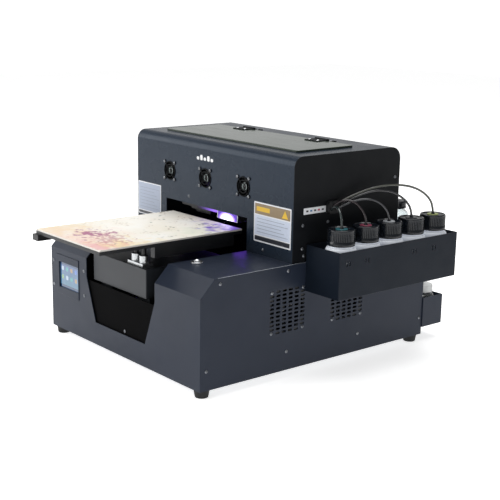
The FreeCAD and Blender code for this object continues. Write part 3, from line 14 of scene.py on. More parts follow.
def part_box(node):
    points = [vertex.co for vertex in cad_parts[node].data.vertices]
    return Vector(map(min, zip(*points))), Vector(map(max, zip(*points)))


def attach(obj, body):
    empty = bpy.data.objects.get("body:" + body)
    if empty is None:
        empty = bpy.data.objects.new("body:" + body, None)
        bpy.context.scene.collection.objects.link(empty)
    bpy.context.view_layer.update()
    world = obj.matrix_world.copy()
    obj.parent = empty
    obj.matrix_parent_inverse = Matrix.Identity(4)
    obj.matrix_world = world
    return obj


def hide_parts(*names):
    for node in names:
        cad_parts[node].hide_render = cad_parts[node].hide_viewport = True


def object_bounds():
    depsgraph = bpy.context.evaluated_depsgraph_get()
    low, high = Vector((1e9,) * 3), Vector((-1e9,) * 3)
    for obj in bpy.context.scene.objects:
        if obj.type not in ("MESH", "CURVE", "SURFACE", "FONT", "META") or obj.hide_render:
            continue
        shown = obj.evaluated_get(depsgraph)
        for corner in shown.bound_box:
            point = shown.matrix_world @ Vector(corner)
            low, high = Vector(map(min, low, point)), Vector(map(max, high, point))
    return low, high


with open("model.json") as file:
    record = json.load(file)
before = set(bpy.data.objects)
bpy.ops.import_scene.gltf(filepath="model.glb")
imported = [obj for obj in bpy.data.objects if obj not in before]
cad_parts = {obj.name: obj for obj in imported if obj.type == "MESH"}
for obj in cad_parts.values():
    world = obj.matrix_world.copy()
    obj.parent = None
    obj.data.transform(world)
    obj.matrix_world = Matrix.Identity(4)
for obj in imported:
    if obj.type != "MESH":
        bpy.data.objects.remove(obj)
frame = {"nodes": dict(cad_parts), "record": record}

bl_info = {
    "name": "Flatbed UV printer",
    "version": (1, 0, 0),
    "blender": (4, 5, 0),
    "location": "3D View > Sidebar > Printer",
    "description": "Finishes and fine parts for a small flatbed UV printer",
    "category": "Object",
}

MM = 0.001
FILM = 0.12 * MM
INK_LAYER = 0.05 * MM
FRAME_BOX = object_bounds()
BODIES = frame["record"]["behaviour"]["bodies"]


# ---- places read from the frame

def body_of(node):
    """The body that a node rides on."""
    return next(body for body, members in BODIES.items() if node in members)


PANEL_LOW, PANEL_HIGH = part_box("side_panels")
BASE_MIDDLE_X = (PANEL_LOW.x + PANEL_HIGH.x) / 2
BASE_FRONT_Y = PANEL_LOW.y


def from_base(x, y, z):
    """A place given from the middle of the base's front, at floor height, in the row frame."""
    return Vector((BASE_MIDDLE_X + x, BASE_FRONT_Y + y, z))


def merged(node):
    """A node's mesh with its loose triangles joined."""
    shape = bmesh.new()
    shape.from_mesh(frame["nodes"][node].data)
    bmesh.ops.remove_doubles(shape, verts=shape.verts, dist=0.002 * MM)
    return shape


def solids(node):
    """The separate solids of a node, each as a list of its points."""
    shape = merged(node)
    found = []
    left = set(shape.verts)
    while left:
        stack = [left.pop()]
        members = []
        while stack:
            vert = stack.pop()
            members.append(vert.co.copy())
            for edge in vert.link_edges:
                other = edge.other_vert(vert)
                if other in left:
                    left.remove(other)
                    stack.append(other)
        found.append(members)
    shape.free()
    return found


def box_of(points):
    """The lowest and highest corner of some points."""
    low = Vector(min(p[i] for p in points) for i in range(3))
    high = Vector(max(p[i] for p in points) for i in range(3))
    return low, high


# ---- colours and materials

def linear(code):
    """An sRGB hex colour as linear RGBA."""
    channels = [int(code[i:i + 2], 16) / 255 for i in (1, 3, 5)]
    return (*[c / 12.92 if c <= 0.04045 else ((c + 0.055) / 1.055) ** 2.4 for c in channels], 1.0)


def add(tree, kind, inputs=None, **settings):
    """Add a node, set its properties, and set or link its inputs."""
    node = tree.nodes.new(kind)
    for name, value in settings.items():
        setattr(node, name, value)
    for key, value in (inputs or {}).items():
        if isinstance(value, bpy.types.NodeSocket):
            tree.links.new(value, node.inputs[key])
        else:
            node.inputs[key].default_value = value
    return node


def surface(name, colour, roughness, metallic=0.0, **sockets):
    """A new material with its shader set. Returns the material, its tree and its shader."""
    material = bpy.data.materials.new(name)
    material.use_nodes = True
    tree = material.node_tree
    shader = tree.nodes["Principled BSDF"]
    sockets.update(Base_Color=colour, Roughness=roughness, Metallic=metallic)
    for socket, value in sockets.items():
        shader.inputs[socket.replace("_", " ")].default_value = value
    return material, tree, shader


def grain(tree, size_mm, detail=3.0, stretch=(1, 1, 1)):
    """A pattern of patches about size_mm wide, in the object's own coordinates."""
    place = add(tree, "ShaderNodeTexCoord")
    scaled = add(tree, "ShaderNodeMapping", {"Vector": place.outputs["Object"], "Scale": stretch})
    noise = {"Vector": scaled.outputs[0], "Scale": 1 / (size_mm * MM), "Detail": detail}
    return add(tree, "ShaderNodeTexNoise", noise).outputs["Fac"]


# The middle range of a noise, where nearly all of its values lie.
NOISE_LOW, NOISE_HIGH = 0.3, 0.7


def steer(tree, shader, pattern, colours=None, glow=None, roughness=None, bump=None):
    """Let a pattern steer a surface: colours, glows, roughnesses, or a bump's mm and strength."""
    for socket, pair in (("Base Color", colours), ("Emission Color", glow)):
        if pair:
            mix = add(tree, "ShaderNodeMix", {"Factor": pattern, 6: pair[0], 7: pair[1]}, data_type="RGBA")
            tree.links.new(mix.outputs[2], shader.inputs[socket])
    if roughness:
        inputs = {"Value": pattern, "From Min": NOISE_LOW, "From Max": NOISE_HIGH,
                  "To Min": roughness[0], "To Max": roughness[1]}
        tree.links.new(add(tree, "ShaderNodeMapRange", inputs).outputs["Result"], shader.inputs["Roughness"])
    if bump:
        inputs = {"Height": pattern, "Distance": bump[0] * MM, "Strength": bump[1]}
        tree.links.new(add(tree, "ShaderNodeBump", inputs).outputs[0], shader.inputs["Normal"])


def laid(tree, under, colour, pattern, start=NOISE_LOW, end=NOISE_HIGH, most=1.0, **how):
    """A colour laid over another, from none where a pattern is at start to its most at end."""
    inputs = {"Value": pattern, "From Min": start, "From Max": end, "To Max": most}
    share = add(tree, "ShaderNodeMapRange", inputs, **how).outputs["Result"]
    return add(tree, "ShaderNodeMix", {"Factor": share, 6: under, 7: colour}, data_type="RGBA").outputs[2]


def shade(colour, share):
    """A colour made darker or lighter by a share."""
    return (*[min(c * share, 1.0) for c in colour[:3]], 1.0)


def moulded_or_coated(name, colour, roughness, mottle=None, gloss=None, texture=None, **sockets):
    """A coat or a plastic. mottle is (mm, darkest share, lightest share), gloss is (mm, lowest and highest
    roughness) and texture is (mm, depth in mm, strength)."""
    material, tree, shader = surface(name, colour, roughness, **sockets)
    if mottle:
        size, dark, light = mottle
        steer(tree, shader, grain(tree, size), colours=(shade(colour, dark), shade(colour, light)))
    if gloss:
        steer(tree, shader, grain(tree, gloss[0]), roughness=gloss[1:])
    if texture:
        steer(tree, shader, grain(tree, texture[0]), bump=texture[1:])
    return material


MADE = {}


def once(make):
    """Keep the material that a function makes, so that each is made once."""
    def kept(*args):
        key = (make.__name__, *args)
        if key not in MADE:
            MADE[key] = make(*args)
        return MADE[key]
    return kept


@once
def charcoal_powder_coat():
    """Satin powder coat on folded steel: a fine orange peel breaks up soft reflections."""
    # real orange peel is about 1 mm wide; it is drawn 2.5 mm wide so that it shows
    return moulded_or_coated(
        "Charcoal powder coat", settings().coat_colour, 0.4, mottle=(90, 0.86, 1.14), gloss=(35, 0.34, 0.44),
        texture=(2.5, 0.06, 0.5), Specular_IOR_Level=0.2,
    )


@once
def smooth_coat():
    """Smoother coat on the hood: it mirrors what is near it as a soft, blurred patch."""
    return moulded_or_coated(
        "Smooth charcoal powder coat", settings().hood_colour, 0.27, mottle=(120, 0.8, 1.2),
        gloss=(45, 0.23, 0.31),
        texture=(3.5, 0.03, 0.25), Specular_IOR_Level=0.2, Specular_Tint=linear("#cfe0f4"),
    )


@once
def end_plate_coat():
    """Flat black coat on the hood's ends, lid hinges and fan guards: it takes light without shining."""
    return moulded_or_coated(
        "Flat black powder coat", linear("#131518"), 0.5, mottle=(80, 0.85, 1.15), gloss=(40, 0.42, 0.56),
        texture=(2.5, 0.04, 0.3), Specular_IOR_Level=0.1,
    )


@once
def blue_black_coat():
    """Blue-black satin coat on the ink box, which soaks up most light."""
    return moulded_or_coated(
        "Blue-black powder coat", settings().ink_box_colour, 0.42, mottle=(70, 0.85, 1.15),
        gloss=(30, 0.36, 0.48),
        texture=(2.5, 0.05, 0.4), Specular_IOR_Level=0.12,
    )


@once
def painted_highlight_coat():
    """Painted highlight: a pale grey strip that stands for the light caught on the side panels' top edges."""
    # pale grey colours painted as the light caught on the top edges, not a thin coat
    material, tree, shader = surface("Painted highlight on a top edge", linear("#b4b9c1"), 0.4)
    steer(tree, shader, grain(tree, 30), colours=(linear("#8e939b"), linear("#c6cad0")))
    return material


@once
def matt_black_coat():
    """Matt black coat inside the channel, made darker than a real coat as painted shade: it hides the
    mechanism in shadow.
    """
    # near-black beyond a real black coat: painted shade in the channel
    return moulded_or_coated(
        "Matt black powder coat", linear("#050506"), 0.7, mottle=(60, 0.7, 1.3), texture=(2.0, 0.08, 0.6),
        Specular_IOR_Level=0.03,
    )


@once
def grey_satin_coat():
    """Grey satin coat on the sled's folded plate."""
    return moulded_or_coated(
        "Grey satin powder coat", linear("#2b2e33"), 0.42, mottle=(50, 0.88, 1.1), texture=(2.2, 0.06, 0.5),
        Specular_IOR_Level=0.32,
    )


@once
def zinc_plate():
    """Bright zinc on sheet steel: pale patches of spangle, a little dull."""
    material, tree, shader = surface("Zinc-plated steel", linear("#8f9296"), 0.35, 1.0)
    place = add(tree, "ShaderNodeTexCoord")
    spangle = add(tree, "ShaderNodeTexVoronoi", {"Vector": place.outputs["Object"], "Scale": 1 / (9 * MM)})
    tone = add(tree, "ShaderNodeSeparateColor", {"Color": spangle.outputs["Color"]}).outputs[0]
    steer(tree, shader, tone, colours=(linear("#74777c"), linear("#94979c")))
    steer(tree, shader, tone, roughness=(0.28, 0.42))
    return material


@once
def nickel_plate():
    """Polished nickel on screws and the button: bright, with fine hairlines."""
    material, tree, shader = surface("Nickel-plated steel", linear("#cfd0d2"), 0.2, 1.0)
    lines = grain(tree, 0.8, 2.0, (1, 1, 0.15))
    steer(tree, shader, lines, roughness=(0.14, 0.3))
    steer(tree, shader, lines, bump=(0.01, 0.3))
    return material


@once
def ground_bar(direction):
    """Ground bar steel: fine marks round the bar, so the highlight runs along it."""
    material, tree, shader = surface(f"Ground bar steel {direction}", linear("#b9bbbe"), 0.24, 1.0)
    stretch = [0.08, 0.08, 0.08]
    stretch["XYZ".index(direction)] = 1.0
    marks = grain(tree, 0.9, 2.0, tuple(stretch))
    steer(tree, shader, marks, roughness=(0.16, 0.34))
    steer(tree, shader, marks, colours=(linear("#9fa2a6"), linear("#cdcfd1")))
    steer(tree, shader, marks, bump=(0.01, 0.3))
    return material


@once
def milled_aluminium():
    """Milled aluminium: straight cutter marks and a soft grey sheen."""
    material, tree, shader = surface("Milled aluminium", linear("#c4c6c8"), 0.32, 1.0)
    marks = grain(tree, 1.4, 3.0, (0.08, 1, 1))
    steer(tree, shader, marks, roughness=(0.24, 0.42))
    steer(tree, shader, marks, colours=(linear("#aeb1b4"), linear("#d5d7d8")))
    steer(tree, shader, marks, bump=(0.02, 0.4))
    return material


@once
def black_anodised_plate():
    """Black anodised aluminium: a dark sheen with faint rolling lines."""
    material, tree, shader = surface("Black anodised aluminium", linear("#141517"), 0.36, 0.3)
    lines = grain(tree, 1.8, 3.0, (1, 0.05, 1))
    steer(tree, shader, lines, colours=(linear("#101112"), linear("#1e1f22")))
    steer(tree, shader, lines, roughness=(0.3, 0.44))
    return material


@once
def smoked_acrylic():
    """Cast smoked acrylic sheet: polished, grey-green, with a few faint wipe marks."""
    colour = settings().lid_colour
    material, tree, shader = surface("Smoked acrylic", colour, 0.12, Specular_IOR_Level=0.31)
    steer(tree, shader, grain(tree, 26, 4.0, (0.35, 1, 1)), roughness=(0.09, 0.17))
    steer(tree, shader, grain(tree, 140), colours=(shade(colour, 0.9), shade(colour, 1.1)))
    return material


@once
def moulded_abs():
    """Black ABS with a fine spark texture from its mould."""
    # real spark texture is about 0.2 mm; it is drawn at 0.9 mm so that it shows
    return moulded_or_coated(
        "Moulded black ABS", linear("#141517"), 0.48, mottle=(18, 0.8, 1.25), texture=(0.9, 0.05, 0.6),
        Specular_IOR_Level=0.35,
    )


@once
def polished_abs():
    """Polished black ABS on the fans' rotors, the display's panel and the rocker."""
    return moulded_or_coated(
        "Polished black ABS", linear("#0f1012"), 0.2, gloss=(14, 0.16, 0.26), Coat_Weight=0.4,
        Coat_Roughness=0.08,
    )


@once
def moulded_rubber():
    """Matt black rubber, dusty on its flats."""
    material, tree, shader = surface("Moulded rubber", linear("#18191a"), 0.8)
    steer(tree, shader, grain(tree, 6, 5.0), colours=(linear("#101112"), linear("#232425")))
    steer(tree, shader, grain(tree, 1.2), bump=(0.06, 0.5))
    return material


@once
def polypropylene_cap():
    """Ribbed black polypropylene caps: a waxy, slightly blue black."""
    return moulded_or_coated(
        "Black polypropylene", settings().cap_colour, 0.2, mottle=(8, 0.8, 1.2), gloss=(5, 0.16, 0.26),
    )


@once
def natural_cap():
    """Uncoloured polypropylene: cloudy white and waxy."""
    return moulded_or_coated("Natural polypropylene", linear("#e9ebea"), 0.34, mottle=(9, 0.92, 1.04))


@once
def blown_hdpe():
    """Blow-moulded HDPE: milky white and waxy. A painted glow near the top stands for light in it."""
    material, tree, shader = surface("Milky HDPE with painted glow", linear("#e4e8ee"), 0.3, Emission_Color=linear("#dfe6f4"))
    # painted glow: emission rising towards the bottles' shoulders, which the hood shades
    place = add(tree, "ShaderNodeTexCoord")
    height = add(tree, "ShaderNodeSeparateXYZ", {"Vector": place.outputs["Object"]}).outputs["Z"]
    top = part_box("ink_bottles")[1].z
    inputs = {"Value": height, "From Min": top - 42 * MM, "From Max": top - 24 * MM, "To Max": 0.3}
    tree.links.new(add(tree, "ShaderNodeMapRange", inputs).outputs["Result"],
                   shader.inputs["Emission Strength"])
    steer(tree, shader, grain(tree, 22), colours=(linear("#d9dee6"), linear("#eff2f6")))
    steer(tree, shader, grain(tree, 9), bump=(0.15, 0.5))
    return material


@once
def clear_pet():
    """Clear blown PET: thin, glossy and a little uneven."""
    return moulded_or_coated(
        "Clear PET", linear("#eef3f4"), 0.06, gloss=(12, 0.03, 0.12), texture=(14, 0.3, 0.35),
        Transmission_Weight=0.95, IOR=1.57,
    )


@once
def bottled_liquid(code, name):
    """A liquid behind clear plastic, with a bright wet surface."""
    return moulded_or_coated(f"{name} liquid", linear(code), 0.08, mottle=(20, 0.8, 1.2), Coat_Weight=0.5)


@once
def ink_tubing(code, name):
    """Clear polyurethane tube full of ink: the ink's dark shade under a wet-looking skin."""
    return moulded_or_coated(
        f"Polyurethane tube, {name}", linear(code), 0.2, mottle=(7, 0.75, 1.3), Coat_Weight=0.8,
        Coat_Roughness=0.06,
    )


@once
def cap_insert(code, name):
    """A coloured polyethylene disc that marks each bottle."""
    return moulded_or_coated(f"{name} polyethylene", linear(code), 0.35, mottle=(4, 0.86, 1.12))


@once
def vinyl(code, name):
    """Printed vinyl film: flat colour with a faint satin mottle."""
    return moulded_or_coated(
        f"{name} vinyl", linear(code), 0.33, mottle=(6, 0.93, 1.05), gloss=(3, 0.28, 0.4),
    )


@once
def lit(code, name, power):
    """A backlit colour behind polished glass."""
    colour = linear(code)
    material, tree, shader = surface(
        f"{name} backlight", shade(colour, 0.25), 0.12, Emission_Color=colour, Emission_Strength=power,
        Coat_Weight=0.6, Coat_Roughness=0.03,
    )
    steer(tree, shader, grain(tree, 9), glow=(shade(colour, 0.85), shade(colour, 1.1)))
    return material


@once
def display_glow():
    """The lit display's picture: teal below, blue-violet above, under a pale haze."""
    material, tree, shader = surface(
        "Lit display panel", linear("#06182c"), 0.1, Emission_Strength=0.52, Coat_Weight=0.7,
        Coat_Roughness=0.03,
    )
    low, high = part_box("display_screen")
    place = add(tree, "ShaderNodeTexCoord")
    height = add(tree, "ShaderNodeSeparateXYZ", {"Vector": place.outputs["Object"]}).outputs["Z"]
    sky = laid(tree, linear("#4fa9bc"), linear("#3f57ae"), height, low.z, high.z)
    picture = laid(tree, sky, linear("#79a6da"), grain(tree, 18, 4.0), most=0.6)
    tree.links.new(picture, shader.inputs["Emission Color"])
    return material


@once
def curing_light():
    """The lamp's front window: diodes that look white in the middle and violet round it."""
    material, tree, shader = surface("Lit quartz window", linear("#2a1a66"), 0.2)
    low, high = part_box("uv_lamp")
    core = Vector(((low.x + high.x) / 2, low.y, low.z))
    squash = (1.0, 0.35, 1.6)
    place = add(tree, "ShaderNodeTexCoord")
    local = add(tree, "ShaderNodeVectorMath", {0: place.outputs["Object"], 1: core}, operation="SUBTRACT")
    flat = add(tree, "ShaderNodeVectorMath", {0: local.outputs[0], 1: squash}, operation="MULTIPLY")
    away = add(tree, "ShaderNodeVectorMath", {0: flat.outputs[0]}, operation="LENGTH")
    inputs = {"Value": away.outputs["Value"], "From Min": 5 * MM, "From Max": 27 * MM}
    fade = add(tree, "ShaderNodeMapRange", inputs).outputs["Result"]
    steer(tree, shader, fade, glow=(linear("#f3eaff"), linear("#6a34d8")))
    strength = settings().lamp_strength
    inputs = {"Value": fade, "To Min": strength, "To Max": strength * 0.1}
    tree.links.new(add(tree, "ShaderNodeMapRange", inputs).outputs["Result"],
                   shader.inputs["Emission Strength"])
    return material


@once
def curing_flood():
    """The lamp's lower window, whose violet light floods the board under it."""
    material, tree, shader = surface(
        "Lit lower quartz window", linear("#2a1a66"), 0.2, Emission_Strength=settings().lamp_strength * 0.7,
    )
    steer(tree, shader, grain(tree, 12), glow=(linear("#6a34d8"), linear("#7c48e8")))
    return material


@once
def lit_shroud():
    """The carriage's moulded black shroud, with a painted glow of the lamp's violet light on its near corner.
    """
    material, tree, shader = surface(
        "Moulded black ABS with painted lamp glow", linear("#141517"), 0.45, Specular_IOR_Level=0.35,
    )
    # painted light: violet emission on the shroud, fading with distance from the lamp's near corner
    reach = 75 * MM
    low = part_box("uv_lamp")[0]
    corner = Vector((low.x, low.y, low.z + 12 * MM))
    place = add(tree, "ShaderNodeTexCoord")
    away = add(tree, "ShaderNodeVectorMath", {0: place.outputs["Object"], 1: corner}, operation="DISTANCE")
    inputs = {"Value": away.outputs["Value"], "From Min": reach, "From Max": 0.0}
    near = add(tree, "ShaderNodeMapRange", inputs, interpolation_type="SMOOTHSTEP").outputs["Result"]
    steer(tree, shader, near, glow=(linear("#5a28c8"), linear("#9a6cf4")))
    falloff = add(tree, "ShaderNodeMath", {0: near, 1: 2.0}, operation="POWER").outputs[0]
    glow = add(tree, "ShaderNodeMath", {0: falloff, 1: 1.3}, operation="MULTIPLY").outputs[0]
    tree.links.new(glow, shader.inputs["Emission Strength"])
    steer(tree, shader, grain(tree, 0.9), bump=(0.05, 0.6))
    return material


# Soft patches of the print, and the last one a painted violet glow of the curing lamp: shares of the board's
# width and length, reach in metres, colour, and the size in millimetres and strength of their ragged edge.
BLOOMS_AND_LAMP_GLOW = (
    (0.5, 0.04, 0.12, "#f3c3a8", 30, 0.5),
    (0.93, 0.18, 0.075, "#efd27c", 18, 0.6),
    (0.88, 0.0, 0.08, "#eba2a8", 16, 0.7),
    (0.1, 0.1, 0.09, "#f2d6aa", 16, 0.6),
    (0.45, 0.2, 0.038, "#a4467c", 9, 0.9),
    (0.72, 0.2, 0.034, "#b2606e", 8, 0.6),
    (0.9, 0.75, 0.08, "#d3dcc0", 20, 0.4),
    # painted light: the lamp's violet glow on the board's back right corner, where the hood shades it
    (0.92, 1.0, 0.075, "#6a3cc4", 20, 1.0),
)


@once
def printed_board():
    """Coated board with a watercolour print: cream ground, soft blooms, small leaves and a paler cut edge. A
    painted violet glow of the lamp lies on its back right corner.
    """
    material, tree, shader = surface("Printed coated board", linear("#f6f2e8"), 0.4)
    low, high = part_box("print_board")
    size = high - low
    place = add(tree, "ShaderNodeTexCoord")
    local = add(tree, "ShaderNodeVectorMath", {0: place.outputs["Object"], 1: low},
                operation="SUBTRACT").outputs[0]
    axes = add(tree, "ShaderNodeSeparateXYZ", {"Vector": local})
    picture = laid(tree, linear("#fdfbf4"), linear("#f6efe0"), grain(tree, 60))
    for across, along, reach, code, ragged, strength in BLOOMS_AND_LAMP_GLOW:
        centre = (size.x * across, size.y * along, size.z)
        away = add(tree, "ShaderNodeVectorMath", {0: local, 1: centre}, operation="DISTANCE").outputs["Value"]
        inputs = {"Value": grain(tree, ragged, 5.0), "From Min": NOISE_LOW, "From Max": NOISE_HIGH,
                  "To Min": -0.04, "To Max": 0.04}
        rough = add(tree, "ShaderNodeMapRange", inputs).outputs["Result"]
        edge = add(tree, "ShaderNodeMath", {0: away, 1: rough}).outputs[0]
        picture = laid(tree, picture, linear(code), edge, reach, 0.0, strength,
                       interpolation_type="SMOOTHSTEP")

    def specks(under, size_mm, patch_mm, low_cut, code):
        """Scatter small marks in clusters."""
        cells = add(tree, "ShaderNodeTexVoronoi", {"Vector": local, "Scale": 1 / (size_mm * MM)})
        dot = add(tree, "ShaderNodeMapRange",
                  {"Value": cells.outputs["Distance"], "From Min": 0.42, "From Max": 0.2})
        inputs = {"Value": grain(tree, patch_mm, 3.0), "From Min": low_cut, "From Max": low_cut + 0.06}
        cluster = add(tree, "ShaderNodeMapRange", inputs)
        share = add(tree, "ShaderNodeMath", {0: dot.outputs[0], 1: cluster.outputs[0]},
                    operation="MULTIPLY").outputs[0]
        mix = add(tree, "ShaderNodeMix", {"Factor": share, 6: under, 7: linear(code)}, data_type="RGBA")
        return mix.outputs[2]

    back = specks(specks(picture, 9, 40, 0.55, "#7c8470"), 7, 30, 0.58, "#a89083")
    front = specks(picture, 6, 34, 0.6, "#94855c")
    face = laid(tree, front, back, axes.outputs["Y"], size.y * 0.35, size.y * 0.6)
    whole = laid(tree, linear("#d9d4cc"), face, axes.outputs["Z"], size.z * 0.9, size.z * 0.95)
    tree.links.new(whole, shader.inputs["Base Color"])
    steer(tree, shader, grain(tree, 40), bump=(0.05, 0.3))
    return material


@once
def green_laminate():
    """Green solder mask over glass cloth, with a faint weave."""
    material, tree, shader = surface("Green glass-epoxy laminate", linear("#1d5a34"), 0.32)
    steer(tree, shader, grain(tree, 5), colours=(linear("#17492a"), linear("#277041")))
    steer(tree, shader, grain(tree, 1.5), bump=(0.03, 0.4))
    return material


@once
def studio_floor():
    """A white studio table of opal acrylic, lit a little from below so that it shows no horizon."""
    material, tree, shader = surface(
        "Opal acrylic table", linear("#f7f7f7"), 0.85, Emission_Color=(1, 1, 1, 1), Emission_Strength=0.7,
    )
    steer(tree, shader, grain(tree, 300), colours=(linear("#f5f5f5"), linear("#fafafa")))
    return material


# ---- meshes

def made(name, shape, materials, body, smooth=True, sharp=35.0):
    """A finished piece from a bmesh, riding on a body."""
    for face in shape.faces:
        face.smooth = smooth
    for edge in shape.edges:
        edge.smooth = len(edge.link_faces) == 2 and edge.calc_face_angle(math.pi) < math.radians(sharp)
    mesh = bpy.data.meshes.new(name)
    shape.to_mesh(mesh)
    shape.free()
    for material in materials:
        mesh.materials.append(material)
    piece = bpy.data.objects.new(name, mesh)
    bpy.context.scene.collection.objects.link(piece)
    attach(piece, body)
    return piece


def applied(piece):
    """The piece with its modifiers made part of its mesh."""
    graph = bpy.context.evaluated_depsgraph_get()
    mesh = bpy.data.meshes.new_from_object(piece.evaluated_get(graph))
    piece.modifiers.clear()
    piece.data = mesh
    return piece


def eased(node, width_mm, material):
    """Stand in for a node with a copy whose edges are rounded, as folded or deburred ones are."""
    piece = made(f"{node}_eased", merged(node), [material], body_of(node))
    bevel = piece.modifiers.new("Eased edges", "BEVEL")
    bevel.width = width_mm * MM
    bevel.segments = 2
    bevel.limit_method = "ANGLE"
    bevel.angle_limit = math.radians(40)
    bevel.use_clamp_overlap = False
    bevel.harden_normals = True
    applied(piece)
    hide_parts(node)
    return piece


def smoothed(node, material):
    """Stand in for a node with a copy that shades smoothly over its rounded edges."""
    piece = made(f"{node}_smooth", merged(node), [material], body_of(node), sharp=32.0)
    normals = piece.modifiers.new("Flat faces stay flat", "WEIGHTED_NORMAL")
    normals.keep_sharp = True
    applied(piece)
    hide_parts(node)
    return piece


def finish_node(node, *materials):
    """Give a node's own mesh a finished material."""
    mesh = frame["nodes"][node].data
    mesh.materials.clear()
    for material in materials:
        mesh.materials.append(material)


def slab(shape, outline, low, high, index, place):
    """A thin plate on a flat face: an outline as (u, v), from one height to another."""
    rings = [[shape.verts.new(place(u, v, w)) for u, v in outline] for w in (low, high)]
    faces = [shape.faces.new(rings[0][::-1]), shape.faces.new(rings[1])]
    count = len(outline)
    for i in range(count):
        j = (i + 1) % count
        faces.append(shape.faces.new((rings[0][i], rings[0][j], rings[1][j], rings[1][i])))
    for face in faces:
        face.material_index = index


def oblong(u0, u1, v0, v1, radius=0.0, steps=4):
    """An outline of a rectangle, with round corners if a radius is given."""
    if radius <= 0:
        return [(u0, v0), (u1, v0), (u1, v1), (u0, v1)]
    corners = ((u1 - radius, v0 + radius, -90), (u1 - radius, v1 - radius, 0),
               (u0 + radius, v1 - radius, 90), (u0 + radius, v0 + radius, 180))
    points = []
    for u, v, start in corners:
        for step in range(steps + 1):
            turn = math.radians(start + 90 * step / steps)
            points.append((u + radius * math.cos(turn), v + radius * math.sin(turn)))
    return points


def arc(radius, height, bend, start, end, steps=6):
    """Points of a round stretch of a turned outline, as (radius, height)."""
    turns = [math.radians(start + (end - start) * i / steps) for i in range(steps + 1)]
    return [(radius + bend * math.cos(t), height + bend * math.sin(t)) for t in turns]


def turn(shape, outline, centre, steps=64, index=0):
    """Turn an outline of (radius, height) round the upright line through a place."""
    rings = []
    for radius, height in outline:
        if radius < 1e-6:
            rings.append([shape.verts.new(centre + Vector((0, 0, height)))])
            continue
        ring = []
        for i in range(steps):
            angle = 2 * math.pi * i / steps
            around = Vector((radius * math.cos(angle), radius * math.sin(angle), height))
            ring.append(shape.verts.new(centre + around))
        rings.append(ring)
    for low, high in zip(rings, rings[1:]):
        for i in range(steps):
            j = (i + 1) % steps
            if len(low) == 1 and len(high) == 1:
                continue
            if len(low) == 1:
                corners = (low[0], high[j], high[i])
            elif len(high) == 1:
                corners = (low[i], low[j], high[0])
            else:
                corners = (low[i], low[j], high[j], high[i])
            shape.faces.new(corners).material_index = index


# ---- settings

def colour_property(name, description, code):
    """A colour setting with its default as sRGB hex."""
    return FloatVectorProperty(
        name=name, description=description, subtype="COLOR", size=4, min=0, max=1, default=linear(code),
    )


class PrinterSettings(bpy.types.PropertyGroup):
    """Sizes, colours and strengths that someone would change."""

    lamp_strength: FloatProperty(
        name="Lamp strength", description="How bright the curing lamp's window is", default=7.0, min=0,
        unit="NONE",
    )
    cap_ribs: IntProperty(
        name="Cap ribs", description="Grip ribs round each bottle cap", default=48, min=6, max=120,
    )
    rib_width: FloatProperty(
        name="Rib width", description="Width of one grip rib", default=1.4 * MM, min=0, unit="LENGTH",
    )
    recess_width: FloatProperty(
        name="Recess width", description="Width of a screw's cross recess", default=0.9 * MM, min=0,
        unit="LENGTH",
    )
    label_width: FloatProperty(
        name="Right label width", description="Width of the label right of the slot", default=98 * MM,
        unit="LENGTH",
    )
    label_height: FloatProperty(
        name="Right label height", description="Height of the label right of the slot", default=71 * MM,
        unit="LENGTH",
    )
    coat_colour: colour_property("Base coat", "Coat on the base and the folded sheet", "#232a38")
    hood_colour: colour_property("Hood coat", "Coat on the hood's folded sheet", "#222b37")
    ink_box_colour: colour_property("Ink box coat", "Coat on the ink box", "#151c26")
    lid_colour: colour_property("Lid tint", "Tint of the lid's acrylic", "#3b463d")
    cap_colour: colour_property("Cap colour", "Colour of the black caps", "#12171e")


def settings():
    """The scene's settings for this object."""
    return bpy.context.scene.printer_settings


class StageSettings(bpy.types.PropertyGroup):
    """Camera and light."""

    azimuth: FloatProperty(
        name="Azimuth", description="How far the camera stands round to the right", subtype="ANGLE",
        default=math.radians(50.08),
    )
    elevation: FloatProperty(
        name="Elevation", description="How far the camera looks down", subtype="ANGLE",
        default=math.radians(13.08),
    )
    roll: FloatProperty(
        name="Roll", description="How far the camera is turned about its view", subtype="ANGLE",
        default=math.radians(1.04),
    )
    lens: FloatProperty(name="Lens", description="Focal length on a 36 mm sensor", default=76.8, min=1,
                        unit="CAMERA")
    camera_from_base: FloatVectorProperty(
        name="Camera place", description="From the middle of the base's front, at floor height",
        subtype="TRANSLATION",
        default=(1.5436, -0.9913, 0.6352),
    )
    floor_size: FloatProperty(name="Floor size", description="Side of the floor", default=14.0, unit="LENGTH")
    front_light: FloatProperty(
        name="Front light", description="Power of the soft light at the front left", default=60.0,
        unit="POWER",
    )
    top_light: FloatProperty(
        name="Top light", description="Power of the soft light overhead", default=52.0, unit="POWER",
    )
    room_light: FloatProperty(name="Room light", description="Strength of the even light all round",
                              default=0.85)


# ---- repeated shapes

def new_group(name, sockets):
    """A Geometry Nodes tree with a mesh going in and out, and named inputs."""
    tree = bpy.data.node_groups.new(name, "GeometryNodeTree")
    tree.interface.new_socket("Geometry", in_out="INPUT", socket_type="NodeSocketGeometry")
    for label, kind in sockets:
        tree.interface.new_socket(label, in_out="INPUT", socket_type=f"NodeSocket{kind}")
    tree.interface.new_socket("Geometry", in_out="OUTPUT", socket_type="NodeSocketGeometry")
    start = add(tree, "NodeGroupInput")
    end = add(tree, "NodeGroupOutput")
    return tree, start.outputs, end


def run_group(piece, tree, **values):
    """Run a tree on a piece with its inputs set, and keep the plain mesh that it makes."""
    modifier = piece.modifiers.new(tree.name, "NODES")
    modifier.node_group = tree
    for item in tree.interface.items_tree:
        key = item.name.replace(" ", "_").lower()
        if item.in_out == "INPUT" and key in values:
            modifier[item.identifier] = values[key]
    return applied(piece)


def close_group(tree, end, geometry, material):
    """End a tree in real geometry with its material."""
    real = add(tree, "GeometryNodeRealizeInstances", {"Geometry": geometry})
    coloured = add(tree, "GeometryNodeSetMaterial", {"Geometry": real.outputs[0], "Material": material})
    tree.links.new(coloured.outputs[0], end.inputs[0])


